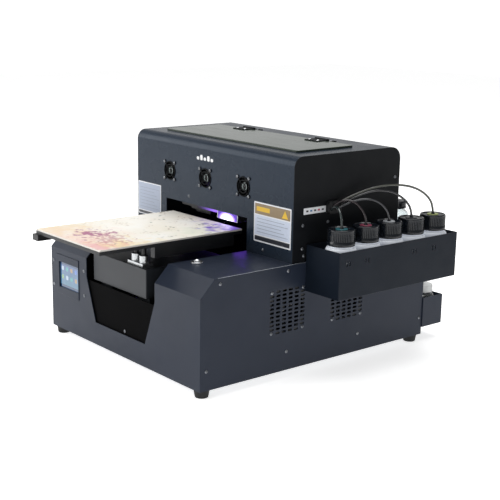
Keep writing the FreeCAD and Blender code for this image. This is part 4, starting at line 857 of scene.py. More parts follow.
def blade_tree():
    """Swept fan blades round a hub that turns about the upright axis."""
    tree, given, end = new_group("Fan blades", [
        ("Blade Count", "Int"), ("Hub Radius", "Float"), ("Tip Radius", "Float"), ("Blade Depth", "Float"),
        ("Blade Thickness", "Float"), ("Sweep", "Float"), ("Finish", "Material"),
    ])

    def calc(operation, first, second=0.0):
        """The result of one sum."""
        return add(tree, "ShaderNodeMath", {0: first, 1: second}, operation=operation).outputs[0]

    block = add(tree, "GeometryNodeMeshCube",
                {"Size": (1, 1, 1), "Vertices X": 7, "Vertices Y": 6, "Vertices Z": 2})
    place = add(tree, "ShaderNodeSeparateXYZ", {"Vector": add(tree, "GeometryNodeInputPosition").outputs[0]})
    out = calc("ADD", place.outputs["X"], 0.5)
    along_chord = place.outputs["Y"]
    reach = calc("SUBTRACT", given["Tip Radius"], given["Hub Radius"])
    radius = calc("ADD", given["Hub Radius"], calc("MULTIPLY", out, reach))
    span = calc("MULTIPLY", along_chord, calc("DIVIDE", 4.4, given["Blade Count"]))
    angle = calc("ADD", span, calc("MULTIPLY", calc("MULTIPLY", out, out), given["Sweep"]))
    hollow = calc("MULTIPLY", calc("MULTIPLY", along_chord, along_chord), 0.35)
    height = calc("MULTIPLY", calc("ADD", along_chord, hollow), given["Blade Depth"])
    height = calc("ADD", height, calc("MULTIPLY", place.outputs["Z"], given["Blade Thickness"]))
    bent = add(tree, "ShaderNodeCombineXYZ", {
        "X": calc("MULTIPLY", radius, calc("COSINE", angle)),
        "Y": calc("MULTIPLY", radius, calc("SINE", angle)),
        "Z": height,
    })
    blade = add(tree, "GeometryNodeSetPosition", {"Geometry": block.outputs[0], "Position": bent.outputs[0]})
    points = add(tree, "GeometryNodeMeshLine", {"Count": given["Blade Count"], "Offset": (0, 0, 0)})
    turn_each = calc("DIVIDE", calc("MULTIPLY", add(tree, "GeometryNodeInputIndex").outputs[0], 2 * math.pi),
                     given["Blade Count"])
    around = add(tree, "ShaderNodeCombineXYZ", {"Z": turn_each})
    blades = add(tree, "GeometryNodeInstanceOnPoints", {
        "Points": points.outputs[0], "Instance": blade.outputs[0], "Rotation": around.outputs[0],
    })
    both = add(tree, "GeometryNodeJoinGeometry")
    tree.links.new(blades.outputs[0], both.inputs[0])
    tree.links.new(given["Geometry"], both.inputs[0])
    close_group(tree, end, both.outputs[0], given["Finish"])
    return tree


# ---- pieces

class PRINTER_OT_sheet_metal(bpy.types.Operator):
    """Base, hood, ink box and holder: folded steel with eased edges and powder coat"""

    bl_idname = "printer.sheet_metal"
    bl_label = "Sheet metal"

    def execute(self, context):
        """Coat each folded piece."""
        for node in ("deck_cover", "side_panels", "rear_panel", "waste_holder"):
            smoothed(node, charcoal_powder_coat())
        smoothed("ink_box", blue_black_coat())
        smoothed("hood_wrap", smooth_coat())
        smoothed("hood_ends", end_plate_coat())
        self.painted_edge_highlights()
        finish_node("table_trough", matt_black_coat())
        finish_node("floor_pan", zinc_plate())
        finish_node("cross_beam", zinc_plate())
        return {"FINISHED"}


    def painted_edge_highlights(self):
        """A pale line painted as the highlight on the side panels' top edges."""
        low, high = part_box("side_panels")
        shape = bmesh.new()
        front = BASE_FRONT_Y + 36 * MM
        width = 1.4 * MM
        for edge in (low.x + 0.3 * MM, high.x - 0.3 * MM - width):
            slab(shape, oblong(edge, edge + width, front, high.y - 3 * MM), 0.0, FILM, 0,
                 lambda u, v, w: Vector((u, v, high.z + w)))
        bmesh.ops.recalc_face_normals(shape, faces=shape.faces)
        made("side_panel_edges", shape, [painted_highlight_coat()], "housing", smooth=False)


class PRINTER_OT_lid(bpy.types.Operator):
    """Smoked lid and its two small hinges"""

    bl_idname = "printer.lid"
    bl_label = "Lid and hinges"

    def execute(self, context):
        """Polish the lid and coat the hinges."""
        smoothed("lid_panel", smoked_acrylic())
        finish_node("lid_hinge_bases", end_plate_coat())
        finish_node("lid_hinge_leaves", end_plate_coat())
        return {"FINISHED"}


class PRINTER_OT_fans(bpy.types.Operator):
    """Fans, their frames and wire guards"""

    bl_idname = "printer.fans"
    bl_label = "Fans"

    def execute(self, context):
        """Finish each fan."""
        for node in ("fan_frames", "side_fan_frames"):
            finish_node(node, moulded_abs())
        tree = blade_tree()
        for body in BODIES:
            if body.startswith("fan_"):
                self.rotor(body, tree, 1)
                self.hub_ring(body)
            if body.startswith("side_fan_"):
                self.rotor(body, tree, 0)
        finish_node("fan_guards", end_plate_coat())
        return {"FINISHED"}

    def rotor(self, body, tree, axis):
        """A hub with swept blades, turned to the fan's axis (0 across the machine, 1 front to back)."""
        node = BODIES[body][0]
        low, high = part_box(node)
        size = high - low
        tip = size.z / 2 - 0.2 * MM
        hub = tip * 0.46
        half = size[axis] / 2
        shape = bmesh.new()
        outline = [(0, -half), (hub - 0.8 * MM, -half), (hub, -half + 0.8 * MM), (hub, half - 0.8 * MM),
                   (hub - 0.8 * MM, half), (0, half)]
        turn(shape, outline, Vector(), steps=40)
        piece = made(f"{node}_bladed", shape, [polished_abs()], body)
        run_group(piece, tree, blade_count=7, hub_radius=hub - 0.3 * MM, tip_radius=tip,
                  blade_depth=half * 1.5,
                  blade_thickness=tip * 0.045, sweep=math.radians(24), finish=piece.data.materials[0])
        facing = Vector((1, 0, 0)) if axis == 0 else Vector((0, -1, 0))
        turned = facing.to_track_quat("Z", "Y").to_matrix().to_4x4()
        piece.data.transform(Matrix.Translation((low + high) / 2) @ turned)
        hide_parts(node)

    def hub_ring(self, body):
        """A pale printed ring on the hub's front."""
        low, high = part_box(BODIES[body][0])
        centre = (low + high) / 2
        radius = (high.x - low.x) / 2
        shape = bmesh.new()

        def on_hub(u, v, w):
            """A place on the hub's front: across, up and out."""
            return Vector((centre.x + u, low.y - w, centre.z + v))

        steps = 32
        turns = [2 * math.pi * i / steps for i in range(steps)]
        for start, end in zip(turns, turns[1:] + turns[:1]):
            corners = [(r * math.cos(t), r * math.sin(t)) for r, t in (
                (radius * 0.24, start), (radius * 0.4, start), (radius * 0.4, end), (radius * 0.24, end))]
            slab(shape, corners, 0.0, FILM, 0, on_hub)
        bmesh.ops.remove_doubles(shape, verts=shape.verts, dist=0.001 * MM)
        bmesh.ops.recalc_face_normals(shape, faces=shape.faces)
        made(f"{body}_hub_ring", shape, [vinyl("#7f8c8c", "Grey-green")], body)


def on_front(u, v, w):
    """A place on the hood's front: across, up and out of it."""
    return Vector((BASE_MIDDLE_X + u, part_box("hood_wrap")[0].y - w, v))


def on_side(u, v, w):
    """A place on the hood's right side: back from the base's front, up and out of it."""
    return Vector((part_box("hood_ends")[1].x + w, BASE_FRONT_Y + u, v))


def make_label(name, place, base, blocks, materials):
    """A film with printed areas on it. Each block is an outline and a material number."""
    shape = bmesh.new()
    slab(shape, base, 0.0, FILM, 0, place)
    for outline, index in blocks:
        slab(shape, outline, FILM, FILM + INK_LAYER, index, place)
    bmesh.ops.recalc_face_normals(shape, faces=shape.faces)
    piece = made(name, shape, materials, "housing", smooth=False)
    return piece


class PRINTER_OT_labels(bpy.types.Operator):
    """Plain printed labels with no words on them"""

    bl_idname = "printer.labels"
    bl_label = "Labels"

    def execute(self, context):
        """Make each label."""
        white = vinyl("#e6e8ec", "White")
        pale = vinyl("#ccd5e6", "Pale blue")
        ink = vinyl("#23262e", "Dark grey")
        rule = vinyl("#8e97a8", "Grey rule")
        tan = vinyl("#8d7a5c", "Tan")
        yellow = vinyl("#e3b92f", "Yellow")
        self.right_label([white, pale, ink, rule, tan, yellow])
        # the left label's pale blue is a darker copy of the right label's, as painted shade
        self.left_label([white, vinyl("#a9b3c6", "Shaded pale blue"), ink, rule])
        self.side_label([white, vinyl("#b2414f", "Red"), ink, vinyl("#3d6f9e", "Blue")])
        self.badge([vinyl("#eceef0", "Off-white")])
        return {"FINISHED"}

    def right_label(self, materials):
        """Pale card with a tan band, a yellow bar and a plain triangle, right of the slot."""
        own = settings()
        left = 131 * MM
        low = 224 * MM
        width, height = own.label_width, own.label_height
        right, top = left + width, low + height
        edge = 2.5 * MM
        band = 21 * MM
        foot = 10 * MM
        blocks = [
            (oblong(left + edge, right - edge, low + edge + foot, top - edge - band), 1),
            (oblong(left + edge, right - edge, low + edge, low + edge + foot - 2 * MM), 2),
            (oblong(left + edge, right - edge, top - edge - band + 2 * MM, top - edge), 4),
        ]
        make_label("right_label", on_front, oblong(left, right, low, top, 1.5 * MM), blocks, materials)
        raised = bmesh.new()
        lift = FILM + INK_LAYER
        mid = top - edge - band / 2 + 1 * MM
        slab(raised, oblong(left + 7 * MM, left + 42 * MM, mid - 4 * MM, mid + 4 * MM), lift, lift * 1.4, 5,
             on_front)
        peak = right - 16 * MM
        slab(raised, [(peak - 8 * MM, mid - 7 * MM), (peak + 8 * MM, mid - 7 * MM), (peak, mid + 7 * MM)],
             lift, lift * 1.4, 5, on_front)
        for line in range(5):
            v = low + foot + edge + (5 + 6 * line) * MM
            slab(raised, oblong(left + 8 * MM, right - (8 + 9 * (line % 3)) * MM, v, v + 0.9 * MM), lift,
                 lift * 1.3, 3,
                 on_front)
        bmesh.ops.recalc_face_normals(raised, faces=raised.faces)
        made("right_label_print", raised, materials, "housing", smooth=False)

    def left_label(self, materials):
        """Pale card with faint rules, left of the slot; its pale blue is darker than the right label's as
        painted shade.
        """
        left, right, low, top = -233 * MM, -154 * MM, 216 * MM, 282 * MM
        blocks = [
            (oblong(left + 2 * MM, right - 2 * MM, low + 9 * MM, top - 2 * MM), 1),
            (oblong(left + 2 * MM, right - 2 * MM, low + 2 * MM, low + 7 * MM), 2),
        ]
        make_label("left_label", on_front, oblong(left, right, low, top, 1.5 * MM), blocks, materials)
        raised = bmesh.new()
        lift = FILM + INK_LAYER
        for line in range(7):
            v = low + (15 + 6.5 * line) * MM
            slab(raised, oblong(left + 7 * MM, right - (7 + 8 * (line % 3)) * MM, v, v + 0.9 * MM), lift,
                 lift * 1.3, 3,
                 on_front)
        bmesh.ops.recalc_face_normals(raised, faces=raised.faces)
        made("left_label_print", raised, materials, "housing", smooth=False)

    def side_label(self, materials):
        """A narrow white strip with small blocks of colour, by the ink tubes' gland."""
        left, right, low, top = 221 * MM, 273 * MM, 284 * MM, 295 * MM
        blocks = []
        for number, index in enumerate((2, 3, 2, 1, 2)):
            u = left + (6 + 9 * number) * MM
            blocks.append((oblong(u, u + 5 * MM, low + 4 * MM, low + 7 * MM), index))
        make_label("side_label", on_side, oblong(left, right, low, top, 0.8 * MM), blocks, materials)

    def badge(self, materials):
        """Five plain blocks, one for each ink, where a badge would go."""
        shape = bmesh.new()
        for number in range(5):
            u = (-38 + 10.5 * number) * MM
            outline = oblong(u, u + 7.5 * MM, 348 * MM, (358 if number % 2 else 354) * MM, 2.5 * MM)
            slab(shape, outline, 0.0, FILM, 0, on_front)
        bmesh.ops.recalc_face_normals(shape, faces=shape.faces)
        made("badge", shape, materials, "housing", smooth=False)


class PRINTER_OT_display(bpy.types.Operator):
    """Display frame, coated like the front it sits in, with a lit panel and its icons"""

    bl_idname = "printer.display"
    bl_label = "Display"

    def execute(self, context):
        """Light the display."""
        smoothed("display_bezel", charcoal_powder_coat())
        finish_node("display_screen", polished_abs())
        low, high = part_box("display_screen")
        face = low.y

        def on_screen(u, v, w):
            """A place on the panel's front: from its lower left corner, and out of it."""
            return Vector((low.x + u, face - w, low.z + v))

        width, height = high.x - low.x, high.z - low.z
        border = 2.2 * MM
        shape = bmesh.new()
        slab(shape, oblong(border, width - 1 * MM, border, height - border), 0.0, 0.1 * MM, 0, on_screen)
        tiles = bmesh.new()
        inner_left, inner_top = border + 4 * MM, height - border - 8 * MM
        tile, gap = 8 * MM, 8 * MM
        for row in range(2):
            for column in range(4):
                u = inner_left + column * (tile + gap)
                v = inner_top - tile - row * (tile + 9 * MM)
                icon = oblong(u, u + tile, v, v + tile, 2.2 * MM)
                slab(tiles, icon, 0.1 * MM, 0.16 * MM, (row * 4 + column) % 5, on_screen)
        bar = oblong(border, width - 1 * MM, height - border - 5 * MM, height - border)
        slab(tiles, bar, 0.1 * MM, 0.14 * MM, 5, on_screen)
        slab(tiles, oblong(border, width - 1 * MM, border, border + 6 * MM), 0.1 * MM, 0.14 * MM, 5,
             on_screen)
        for piece_shape in (shape, tiles):
            bmesh.ops.recalc_face_normals(piece_shape, faces=piece_shape.faces)
        made("display_picture", shape, [display_glow()], "housing", smooth=False)
        colours = [lit("#c3d6ea", "White", 0.6), lit("#5fb4b4", "Teal", 0.55), lit("#b9a184", "Amber", 0.55),
                   lit("#6c8fd8", "Blue", 0.6), lit("#93bf92", "Green", 0.55), lit("#274f7c", "Navy", 0.5)]
        made("display_icons", tiles, colours, "housing", smooth=False)
        return {"FINISHED"}


INK_COLOURS = (
    ("#2c6b74", "Cyan"), ("#8c3f55", "Magenta"), ("#b9bdc2", "White"), ("#33363b", "Grey"),
    ("#98a35a", "Yellow"),
)


class PRINTER_OT_ink_bottles(bpy.types.Operator):
    """Translucent bottles with ribbed caps and coloured discs"""

    bl_idname = "printer.ink_bottles"
    bl_label = "Ink bottles"

    def execute(self, context):
        """Make each bottle and cap where its solid is."""
        cap_boxes = sorted((box_of(s) for s in solids("ink_caps")), key=lambda b: b[0].y)
        bottle_low, bottle_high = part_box("ink_bottles")
        radius = (bottle_high.x - bottle_low.x) / 2
        bottles = bmesh.new()
        caps = bmesh.new()
        discs = bmesh.new()
        centres = []
        cap_radius = (cap_boxes[0][1].x - cap_boxes[0][0].x) / 2
        cap_low, fitting_top = cap_boxes[0][0].z, cap_boxes[0][1].z
        top = fitting_top - 3 * MM
        shoulder = cap_low - 9.5 * MM
        for number, (low, high) in enumerate(cap_boxes):
            centre = Vector(((low.x + high.x) / 2, (low.y + high.y) / 2, 0))
            centres.append(centre)
            outline = [(0, bottle_low.z)]
            outline += arc(radius - 3 * MM, bottle_low.z + 3 * MM, 3 * MM, -90, 0)
            outline += arc(radius - 7 * MM, shoulder, 7 * MM, 0, 72)
            outline += [(cap_radius - 2.0 * MM, cap_low - 1.9 * MM),
                        (cap_radius - 2.0 * MM, cap_low - 0.2 * MM),
                        (cap_radius - 4.0 * MM, cap_low), (cap_radius - 4.0 * MM, top - 3.5 * MM),
                        (0, top - 3.5 * MM)]
            turn(bottles, outline, centre)
            band = 7.0 * MM
            outline = [(cap_radius - 3.4 * MM, cap_low), (cap_radius - 0.2 * MM, cap_low),
                       (cap_radius, cap_low + 0.4 * MM), (cap_radius, cap_low + band),
                       (cap_radius - 0.9 * MM, cap_low + band + 0.6 * MM),
                       (cap_radius - 0.9 * MM, top - 2 * MM)]
            outline += arc(cap_radius - 2.6 * MM, top - 1.7 * MM, 1.7 * MM, 0, 90, 4)
            outline += [(cap_radius - 3.6 * MM, top - 0.1 * MM), (cap_radius - 3.9 * MM, top - 1.2 * MM),
                        (3.2 * MM, top - 1.2 * MM), (3.0 * MM, top - 0.9 * MM),
                        (3.0 * MM, fitting_top - 0.4 * MM),
                        (2.6 * MM, fitting_top), (0, fitting_top)]
            turn(caps, outline, centre)
            disc_out = cap_radius - 13.5 * MM
            outline = [(4.2 * MM, top - 1.19 * MM), (disc_out, top - 1.19 * MM), (disc_out, top - 0.5 * MM),
                       (disc_out - 0.5 * MM, top - 0.2 * MM), (4.6 * MM, top - 0.2 * MM),
                       (4.2 * MM, top - 0.5 * MM),
                       (4.2 * MM, top - 1.19 * MM)]
            turn(discs, outline, centre, index=number)
        piece = made("ink_bottles_blown", bottles, [blown_hdpe()], "housing")
        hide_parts("ink_bottles")
        bmesh.ops.remove_doubles(discs, verts=discs.verts, dist=0.01 * MM)
        piece = made("ink_cap_discs", discs, [cap_insert(*pair) for pair in INK_COLOURS], "housing")
        piece = made("ink_caps_ribbed", caps, [polypropylene_cap()], "housing")
        add_ribs(piece, centres, cap_radius - 0.9 * MM, cap_low + 8.2 * MM, top - 3 * MM)
        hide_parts("ink_caps")
        return {"FINISHED"}


def rib_tree():
    """Grip ribs in a ring, repeated at each cap along a row, joined to the caps."""
    tree, given, end = new_group("Cap ribs", [
        ("First Cap", "Vector"), ("Cap Pitch", "Vector"), ("Cap Count", "Int"), ("Rib Count", "Int"),
        ("Ring Radius", "Float"), ("Rib Size", "Vector"), ("Finish", "Material"),
    ])
    row = add(tree, "GeometryNodeMeshLine", {
        "Count": given["Cap Count"], "Start Location": given["First Cap"], "Offset": given["Cap Pitch"],
    })
    circle = add(tree, "GeometryNodeMeshCircle",
                 {"Vertices": given["Rib Count"], "Radius": given["Ring Radius"]})
    rib = add(tree, "GeometryNodeMeshCube", {"Size": given["Rib Size"]})
    place = add(tree, "GeometryNodeInputPosition")
    facing = add(tree, "FunctionNodeAlignRotationToVector", {"Vector": place.outputs[0]}, axis="X",
                 pivot_axis="Z")
    ring = add(tree, "GeometryNodeInstanceOnPoints", {
        "Points": circle.outputs[0], "Instance": rib.outputs[0], "Rotation": facing.outputs[0],
    })
    rings = add(tree, "GeometryNodeInstanceOnPoints", {"Points": row.outputs[0], "Instance": ring.outputs[0]})
    both = add(tree, "GeometryNodeJoinGeometry")
    tree.links.new(rings.outputs[0], both.inputs[0])
    tree.links.new(given["Geometry"], both.inputs[0])
    close_group(tree, end, both.outputs[0], given["Finish"])
    return tree


def add_ribs(piece, centres, radius, low, high):
    """Add grip ribs to a row of caps."""
    own = settings()
    pitch = centres[1] - centres[0] if len(centres) > 1 else Vector((0, 0, 1))
    depth = 0.8 * MM
    run_group(
        piece, rib_tree(), first_cap=centres[0] + Vector((0, 0, (low + high) / 2)), cap_pitch=pitch,
        cap_count=len(centres), rib_count=own.cap_ribs, ring_radius=radius,
        rib_size=(depth, own.rib_width, high - low), finish=piece.data.materials[0],
    )


class PRINTER_OT_clear_bottles(bpy.types.Operator):
    """Clear bottles for coolant and waste, with liquid in them and ribbed lids"""

    bl_idname = "printer.clear_bottles"
    bl_label = "Clear bottles"

    def execute(self, context):
        """Make each bottle where its solid is."""
        lids = sorted((box_of(s) for s in solids("clear_bottle_lids")), key=lambda b: b[0].y)
        bodies = sorted((box_of(s) for s in solids("clear_bottles")), key=lambda b: b[0].y)
        names = (("coolant", "#c9d6da", 0.8), ("waste", "#2c2622", 0.35))
        for (lid_low, lid_high), (low, high), (name, code, fill) in zip(lids, bodies, names):
            centre = Vector(((low.x + high.x) / 2, (low.y + high.y) / 2, 0))
            radius = (high.x - low.x) / 2
            lid_radius = (lid_high.x - lid_low.x) / 2
            neck = lid_radius - 3.5 * MM
            outer = [(0, low.z), *arc(radius - 3 * MM, low.z + 3 * MM, 3 * MM, -90, 0, 5),
                     *arc(radius - 8 * MM, lid_low.z - 12 * MM, 8 * MM, 0, 70, 7),
                     (neck, lid_low.z - 2 * MM), (neck, high.z)]
            wall = 0.9 * MM
            inner = [(max(r - wall, 0), z + wall if r < radius - 1 * MM and z < low.z + 6 * MM else z)
                     for r, z in outer[::-1]]
            shape = bmesh.new()
            turn(shape, [*outer, *inner], centre)
            bmesh.ops.remove_doubles(shape, verts=shape.verts, dist=0.01 * MM)
            bmesh.ops.recalc_face_normals(shape, faces=shape.faces)
            bottle = made(f"{name}_bottle_clear", shape, [clear_pet()], "housing")
            if name == "coolant":
                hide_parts("clear_bottles")
            level = low.z + (lid_low.z - 12 * MM - low.z) * fill
            inside = radius - 1.3 * MM
            liquid = bmesh.new()
            turn(liquid, [(0, low.z + 1.4 * MM), *arc(inside - 2 * MM, low.z + 3.4 * MM, 2 * MM, -90, 0, 4),
                          (inside, level), (inside - 0.4 * MM, level + 0.3 * MM), (0, level + 0.1 * MM)],
                          centre)
            made(f"{name}_liquid", liquid, [bottled_liquid(code, name.title())], "housing")
        self.lids(lids)
        return {"FINISHED"}

    def lids(self, boxes):
        """Ribbed screw lids with a hose nib."""
        nib = 9 * MM
        for name, (low, high), finish in zip(("coolant", "waste"), boxes,
                                             (polypropylene_cap(), natural_cap())):
            shape = bmesh.new()
            centre = Vector(((low.x + high.x) / 2, (low.y + high.y) / 2, 0))
            radius = (high.x - low.x) / 2
            top = high.z - nib
            outline = [(radius - 3 * MM, low.z), (radius - 0.3 * MM, low.z), (radius, low.z + 0.5 * MM),
                       (radius, low.z + 2.5 * MM), (radius - 0.8 * MM, low.z + 3 * MM),
                       (radius - 0.8 * MM, top - 1.5 * MM)]
            outline += arc(radius - 2.3 * MM, top - 1.5 * MM, 1.5 * MM, 0, 90, 4)
            outline += [(5 * MM, top), (4 * MM, top + 1 * MM), (3 * MM, top + 1.6 * MM),
                        (2.4 * MM, top + 4 * MM),
                        (3 * MM, top + 4.6 * MM), (2.4 * MM, top + 8.2 * MM), (2.1 * MM, high.z), (0, high.z)]
            turn(shape, outline, centre, steps=48)
            piece = made(f"{name}_lid_ribbed", shape, [finish], "housing")
            add_ribs(piece, [centre], radius - 0.9 * MM, low.z + 4 * MM, top - 2.5 * MM)
            if name == "coolant":
                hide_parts("clear_bottle_lids")


# Control points of each tube, from the middle of the base's front at floor height.
INK_ROUTES = (
    ((0.243, 0.279, 0.2875), (0.2515, 0.2755, 0.2942), (0.2618, 0.2713, 0.2969), (0.2722, 0.2671, 0.295),
     (0.281, 0.2635, 0.2886), (0.2865, 0.2612, 0.279), (0.288, 0.2606, 0.268)),
    ((0.243, 0.283, 0.2935), (0.2495, 0.2885, 0.3015), (0.2575, 0.296, 0.3055), (0.2665, 0.3045, 0.3045),
     (0.275, 0.311, 0.298), (0.2825, 0.3158, 0.2875), (0.2865, 0.3182, 0.277), (0.288, 0.3188, 0.268)),
    ((0.243, 0.29, 0.2875), (0.249, 0.303, 0.295), (0.256, 0.3185, 0.301), (0.264, 0.3345, 0.3043),
     (0.272, 0.3495, 0.303), (0.279, 0.362, 0.2965), (0.284, 0.3705, 0.2865), (0.287, 0.3754, 0.277),
     (0.288, 0.377, 0.268)),
    ((0.243, 0.2995, 0.2952), (0.2485, 0.315, 0.3022), (0.254, 0.334, 0.309), (0.26, 0.356, 0.315),
     (0.266, 0.379, 0.316), (0.273, 0.4005, 0.311), (0.28, 0.4175, 0.3015), (0.285, 0.4285, 0.2895),
     (0.2875, 0.4338, 0.2783), (0.288, 0.4352, 0.268)),
    ((0.243, 0.29, 0.297), (0.247, 0.31, 0.3055), (0.252, 0.335, 0.3135), (0.2575, 0.362, 0.32),
     (0.263, 0.39, 0.323), (0.2685, 0.4175, 0.3225), (0.274, 0.4445, 0.318), (0.2795, 0.4675, 0.3085),
     (0.2845, 0.4835, 0.2955), (0.2873, 0.4915, 0.2818), (0.288, 0.4934, 0.268)),
)
INK_LENGTHS = (0.0674, 0.082, 0.119, 0.1695, 0.2379)
WASTE_ROUTE = (
    (0.212, 0.545, 0.136), (0.2124, 0.552, 0.1363), (0.2129, 0.559, 0.1336), (0.2131, 0.5638, 0.128),
    (0.2126, 0.5652, 0.121), (0.212, 0.565, 0.1145),
)
TUBE_DIAMETER = 4 * MM


def make_tube(name, node, route, material):
    """A tube as one smooth spline through its control points."""
    curve = bpy.data.curves.new(name, "CURVE")
    curve.dimensions = "3D"
    curve.resolution_u = 12
    curve.bevel_depth = TUBE_DIAMETER / 2
    curve.bevel_resolution = 4
    curve.use_fill_caps = True
    spline = curve.splines.new("NURBS")
    spline.points.add(len(route) - 1)
    for point, place in zip(spline.points, route):
        point.co = (*from_base(*place), 1.0)
    spline.order_u = 3
    spline.use_endpoint_u = True
    curve.materials.append(material)
    piece = bpy.data.objects.new(name, curve)
    bpy.context.scene.collection.objects.link(piece)
    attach(piece, "housing")
    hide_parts(node)


class PRINTER_OT_tubes(bpy.types.Operator):
    """Five ink tubes and the waste tube"""

    bl_idname = "printer.tubes"
    bl_label = "Tubes"

    def execute(self, context):
        """Lay each tube on its route."""
        shades = (
            ("#303a3a", "cyan"), ("#261c20", "magenta"), ("#333539", "white"), ("#232427", "grey"),
            ("#45473f", "yellow"),
        )
        for number, (route, length, pair) in enumerate(zip(INK_ROUTES, INK_LENGTHS, shades), 1):
            make_tube(f"ink_tube_{number}_line", f"ink_tube_{number}", route, ink_tubing(*pair))
        make_tube("waste_tube_line", "waste_tube", WASTE_ROUTE,
                  ink_tubing("#191a1b", "waste"))
        eased("tube_glands", 0.5, moulded_abs())
        return {"FINISHED"}


class PRINTER_OT_table(bpy.types.Operator):
    """Sled, lift guides, platen and the printed board"""

    bl_idname = "printer.table"
    bl_label = "Table"

    def execute(self, context):
        """Finish the table's parts."""
        smoothed("platen", black_anodised_plate())
        smoothed("print_board", printed_board())
        eased("platen_frame", 0.6, black_anodised_plate())
        smoothed("lift_guides", milled_aluminium())
        smoothed("table_sled", grey_satin_coat())
        finish_node("table_rails", ground_bar("Y"))
        finish_node("sled_screw", ground_bar("Y"))
        finish_node("lift_screw", ground_bar("Z"))
        finish_node("lift_motor", matt_black_coat())
        return {"FINISHED"}


class PRINTER_OT_carriage(bpy.types.Operator):
    """Print carriage, head, lamp and belt drive"""

    bl_idname = "printer.carriage"
    bl_label = "Carriage"

    def execute(self, context):
        """Finish the carriage and light its lamp."""
        eased("print_carriage", 0.6, lit_shroud())
        finish_node("print_head", black_anodised_plate())
        finish_node("uv_lamp", milled_aluminium())
        finish_node("carriage_rail", ground_bar("X"))
        finish_node("carriage_belt", moulded_rubber())
        finish_node("drive_pulley", milled_aluminium())
        finish_node("idler_pulley", milled_aluminium())
        low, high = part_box("uv_lamp")
        window = 0.8 * MM
        shape = bmesh.new()

        def under(u, v, w):
            """A place under the lamp: across, back and down."""
            return Vector((u, v, low.z - w))

        def ahead(u, v, w):
            """A place on the lamp's front: across, up and out."""
            return Vector((u, low.y - w, v))

        slab(shape, oblong(low.x + 3 * MM, high.x - 3 * MM, low.y + 3 * MM, high.y - 3 * MM, 2 * MM), 0.0,
             window, 0, under)
        slab(shape, oblong(low.x + 3 * MM, high.x - 3 * MM, low.z + 1 * MM, low.z + 15 * MM, 2 * MM), 0.0,
             window, 1, ahead)
        bmesh.ops.recalc_face_normals(shape, faces=shape.faces)
        piece = made("uv_lamp_window", shape, [curing_flood(), curing_light()], "carriage", smooth=False)
        return {"FINISHED"}


class PRINTER_OT_screws(bpy.types.Operator):
    """Cross-head screws, button, feet and rear fittings"""

    bl_idname = "printer.screws"
    bl_label = "Screws, button and feet"

    def execute(self, context):
        """Set each screw and finish the small parts."""
        tree = screw_tree()
        self.set_screws("case_screws", tree, zinc_plate())
        self.set_screws("lid_screws", tree, nickel_plate())
        eased("button_bezel", 0.25, nickel_plate())
        eased("start_button", 0.4, nickel_plate())
        self.feet()
        eased("mains_inlet", 0.5, moulded_abs())
        eased("power_rocker", 0.5, polished_abs())
        finish_node("power_supply", zinc_plate())
        finish_node("main_board", green_laminate())
        finish_node("stepper_motors", matt_black_coat())
        return {"FINISHED"}

    def set_screws(self, node, tree, finish):
        """Put a cross-head screw at each plain one's place."""
        mesh = bpy.data.meshes.new(f"{node}_places")
        places, outward = [], []
        for points in solids(node):
            low, high = box_of(points)
            centre = (low + high) / 2
            lean = sum(points, Vector()) / len(points) - centre
            axis = max(range(3), key=lambda i: abs(lean[i]))
            out = Vector(math.copysign(1, lean[axis]) if i == axis else 0 for i in range(3))
            head = centre.copy()
            head[axis] = (high if lean[axis] > 0 else low)[axis] - out[axis] * HEAD_HEIGHT
            places.append(head)
            outward.append(out)
        mesh.from_pydata(places, [], [])
        direction = mesh.attributes.new("outward", "FLOAT_VECTOR", "POINT")
        direction.data.foreach_set("vector", [c for out in outward for c in out])
        piece = bpy.data.objects.new(f"{node}_cross_head", mesh)
        bpy.context.scene.collection.objects.link(piece)
        run_group(piece, tree, head_radius=HEAD_RADIUS, head_height=HEAD_HEIGHT, shank_radius=1.5 * MM,
                  shank_length=1.4 * MM, recess_size=(settings().recess_width, 3.6 * MM, 1.6 * MM),
                  finish=finish)
        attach(piece, body_of(node))
        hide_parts(node)

    def feet(self):
        """Tapered rubber feet with a rounded tread and a screw recess."""
        shape = bmesh.new()
        for points in solids("feet"):
            low, high = box_of(points)
            centre = Vector(((low.x + high.x) / 2, (low.y + high.y) / 2, 0))
            top = (high.x - low.x) / 2
            tread = top - 2.5 * MM
            outline = [(0, 4 * MM), (5 * MM, 4 * MM), (5.5 * MM, 0),
                       *arc(tread - 1.2 * MM, 1.2 * MM, 1.2 * MM, -90, 5, 4),
                       (top - 0.5 * MM, high.z - 1.5 * MM), (top - 0.1 * MM, high.z - 1 * MM),
                       (top - 0.1 * MM, high.z),
                       (0, high.z)]
            turn(shape, outline, centre, steps=40)
        piece = made("feet_moulded", shape, [moulded_rubber()], "housing")
        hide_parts("feet")


HEAD_RADIUS = 3.0 * MM
HEAD_HEIGHT = 1.6 * MM


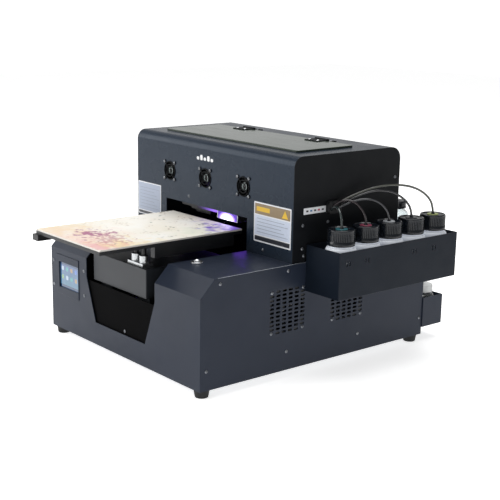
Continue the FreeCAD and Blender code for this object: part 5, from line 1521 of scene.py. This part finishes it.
def screw_tree():
    """A domed cross-head screw at each point, facing the point's outward direction."""
    tree, given, end = new_group("Cross-head screws", [
        ("Head Radius", "Float"), ("Head Height", "Float"), ("Shank Radius", "Float"),
        ("Shank Length", "Float"),
        ("Recess Size", "Vector"), ("Finish", "Material"),
    ])
    ball = add(tree, "GeometryNodeMeshUVSphere",
               {"Segments": 20, "Rings": 12, "Radius": given["Head Radius"]})
    squat = add(tree, "ShaderNodeMath", {0: given["Head Height"], 1: given["Head Radius"]},
                operation="DIVIDE")
    flat = add(tree, "ShaderNodeCombineXYZ", {"X": 1.0, "Y": 1.0, "Z": squat.outputs[0]})
    dome = add(tree, "GeometryNodeTransform", {"Geometry": ball.outputs[0], "Scale": flat.outputs[0]})
    under = add(tree, "GeometryNodeMeshCube", {"Size": (0.02, 0.02, 0.01)})
    below = add(tree, "GeometryNodeTransform", {"Geometry": under.outputs[0], "Translation": (0, 0, -0.005)})
    slot_one = add(tree, "GeometryNodeMeshCube", {"Size": given["Recess Size"]})
    lift = add(tree, "ShaderNodeCombineXYZ", {"Z": given["Head Height"]})
    raised = add(tree, "GeometryNodeTransform",
                 {"Geometry": slot_one.outputs[0], "Translation": lift.outputs[0]})
    crossed = add(tree, "GeometryNodeTransform", {
        "Geometry": raised.outputs[0], "Rotation": Euler((0, 0, math.pi / 2)),
    })
    head = add(tree, "GeometryNodeMeshBoolean", {"Mesh 1": dome.outputs[0]}, operation="DIFFERENCE")
    for cutter in (below, raised, crossed):
        tree.links.new(cutter.outputs[0], head.inputs["Mesh 2"])
    shank = add(tree, "GeometryNodeMeshCylinder", {
        "Vertices": 12, "Radius": given["Shank Radius"], "Depth": given["Shank Length"],
    })
    half = add(tree, "ShaderNodeMath", {0: given["Shank Length"], 1: -0.5}, operation="MULTIPLY")
    drop = add(tree, "ShaderNodeCombineXYZ", {"Z": half.outputs[0]})
    lowered = add(tree, "GeometryNodeTransform",
                  {"Geometry": shank.outputs["Mesh"], "Translation": drop.outputs[0]})
    screw = add(tree, "GeometryNodeJoinGeometry")
    tree.links.new(lowered.outputs[0], screw.inputs[0])
    tree.links.new(head.outputs[0], screw.inputs[0])
    outward = add(tree, "GeometryNodeInputNamedAttribute", {"Name": "outward"}, data_type="FLOAT_VECTOR")
    facing = add(tree, "FunctionNodeAlignRotationToVector", {"Vector": outward.outputs[0]}, axis="Z")
    turned = add(tree, "FunctionNodeRandomValue", {"Min": -0.6, "Max": 0.6, "Seed": 7}, data_type="FLOAT")
    spin = add(tree, "ShaderNodeCombineXYZ", {"Z": turned.outputs[1]})
    both = add(tree, "FunctionNodeRotateRotation",
               {"Rotation": facing.outputs[0], "Rotate By": spin.outputs[0]},
               rotation_space="LOCAL")
    screws = add(tree, "GeometryNodeInstanceOnPoints", {
        "Points": given["Geometry"], "Instance": screw.outputs[0], "Rotation": both.outputs[0],
    })
    close_group(tree, end, screws.outputs[0], given["Finish"])
    return tree


# ---- stage

class PRINTER_OT_stage(bpy.types.Operator):
    """White floor, soft studio light and the camera"""

    bl_idname = "printer.stage"
    bl_label = "Stage"

    def execute(self, context):
        """Set up the camera, floor and lights."""
        own = context.scene.printer_stage
        self.camera(context.scene, own)
        shape = bmesh.new()
        bmesh.ops.create_grid(shape, x_segments=1, y_segments=1, size=own.floor_size / 2)
        mesh = bpy.data.meshes.new("studio_floor")
        shape.to_mesh(mesh)
        shape.free()
        mesh.materials.append(studio_floor())
        floor = bpy.data.objects.new("studio_floor", mesh)
        context.scene.collection.objects.link(floor)
        self.light("front_softbox", (-2.6, -2.4, 1.7), 2.6, own.front_light)
        self.light("top_softbox", (-0.3, 0.3, 2.6), 2.2, own.top_light)
        self.room(context.scene, own)
        context.scene.view_settings.view_transform = "Standard"
        return {"FINISHED"}

    def camera(self, scene, own):
        """Place the camera from its angles."""
        a, e, r = own.azimuth, own.elevation, own.roll
        ahead = Vector((-math.sin(a) * math.cos(e), math.cos(a) * math.cos(e), -math.sin(e)))
        right = Vector((math.cos(a), math.sin(a), 0))
        up = right.cross(ahead)
        side = right * math.cos(r) + up * math.sin(r)
        rise = up * math.cos(r) - right * math.sin(r)
        data = bpy.data.cameras.new("camera")
        data.lens = own.lens
        data.sensor_width = 36.0
        data.clip_end = 50.0
        camera = bpy.data.objects.new("camera", data)
        scene.collection.objects.link(camera)
        axes = Matrix((side, rise, -ahead)).transposed().to_4x4()
        camera.matrix_world = Matrix.Translation(from_base(*own.camera_from_base)) @ axes
        scene.camera = camera

    def light(self, name, place, size, power):
        """A square soft light that faces the object."""
        data = bpy.data.lights.new(name, "AREA")
        data.size = size
        data.energy = power
        lamp = bpy.data.objects.new(name, data)
        bpy.context.scene.collection.objects.link(lamp)
        lamp.location = place
        target = (FRAME_BOX[0] + FRAME_BOX[1]) / 2
        lamp.rotation_euler = (target - Vector(place)).to_track_quat("-Z", "Y").to_euler()

    def room(self, scene, own):
        """Even white light, brighter from the front left, dimmer overhead and from the back right."""
        world = bpy.data.worlds.new("studio_room")
        world.use_nodes = True
        tree = world.node_tree
        shader = tree.nodes["Background"]
        place = add(tree, "ShaderNodeTexCoord")
        towards = add(tree, "ShaderNodeVectorMath", {0: place.outputs["Generated"], 1: (-0.77, -0.64, 0.25)},
                      operation="DOT_PRODUCT")
        inputs = {"Value": towards.outputs["Value"], "From Min": -0.9, "From Max": 0.9, "To Min": 0.3,
                  "To Max": 1.1}
        across = add(tree, "ShaderNodeMapRange", inputs).outputs["Result"]
        up = add(tree, "ShaderNodeSeparateXYZ", {"Vector": place.outputs["Generated"]}).outputs["Z"]
        inputs = {"Value": up, "From Min": 0.1, "From Max": 0.8, "To Min": 1.0, "To Max": 0.28}
        dim = add(tree, "ShaderNodeMapRange", inputs)
        level = add(tree, "ShaderNodeMath", {0: across, 1: dim.outputs["Result"]},
                    operation="MULTIPLY").outputs[0]
        seen = add(tree, "ShaderNodeLightPath")
        inputs = {"Factor": seen.outputs["Is Camera Ray"], 6: level, 7: (1.3, 1.3, 1.3, 1.0)}
        shown = add(tree, "ShaderNodeMix", inputs, data_type="RGBA")
        tree.links.new(shown.outputs[2], shader.inputs["Color"])
        shader.inputs["Strength"].default_value = own.room_light
        scene.world = world


CLASSES = (
    PrinterSettings, StageSettings, PRINTER_OT_stage, PRINTER_OT_tubes, PRINTER_OT_sheet_metal,
    PRINTER_OT_lid,
    PRINTER_OT_fans, PRINTER_OT_labels, PRINTER_OT_display, PRINTER_OT_ink_bottles, PRINTER_OT_clear_bottles,
    PRINTER_OT_table, PRINTER_OT_carriage, PRINTER_OT_screws,
)
OPERATORS = [c for c in CLASSES if issubclass(c, bpy.types.Operator)]


class PRINTER_PT_panel(bpy.types.Panel):
    """Lists what makes the printer"""

    bl_label = "Flatbed UV printer"
    bl_idname = "PRINTER_PT_panel"
    bl_space_type = "VIEW_3D"
    bl_region_type = "UI"
    bl_category = "Printer"

    def draw(self, context):
        """Show the settings and a button for each operator."""
        for group in (context.scene.printer_settings, context.scene.printer_stage):
            for name in group.__annotations__:
                self.layout.prop(group, name)
        for operator in OPERATORS:
            self.layout.operator(operator.bl_idname)


def register():
    """Register the classes and the scene's settings."""
    for item in (*CLASSES, PRINTER_PT_panel):
        bpy.utils.register_class(item)
    bpy.types.Scene.printer_settings = PointerProperty(type=PrinterSettings)
    bpy.types.Scene.printer_stage = PointerProperty(type=StageSettings)


def unregister():
    """Take them away again."""
    del bpy.types.Scene.printer_stage
    del bpy.types.Scene.printer_settings
    for item in reversed((*CLASSES, PRINTER_PT_panel)):
        bpy.utils.unregister_class(item)


def main():
    """Make every piece."""
    register()
    for operator in OPERATORS:
        group, name = operator.bl_idname.split(".")
        getattr(getattr(bpy.ops, group), name)()


if __name__ == "__main__":
    main()
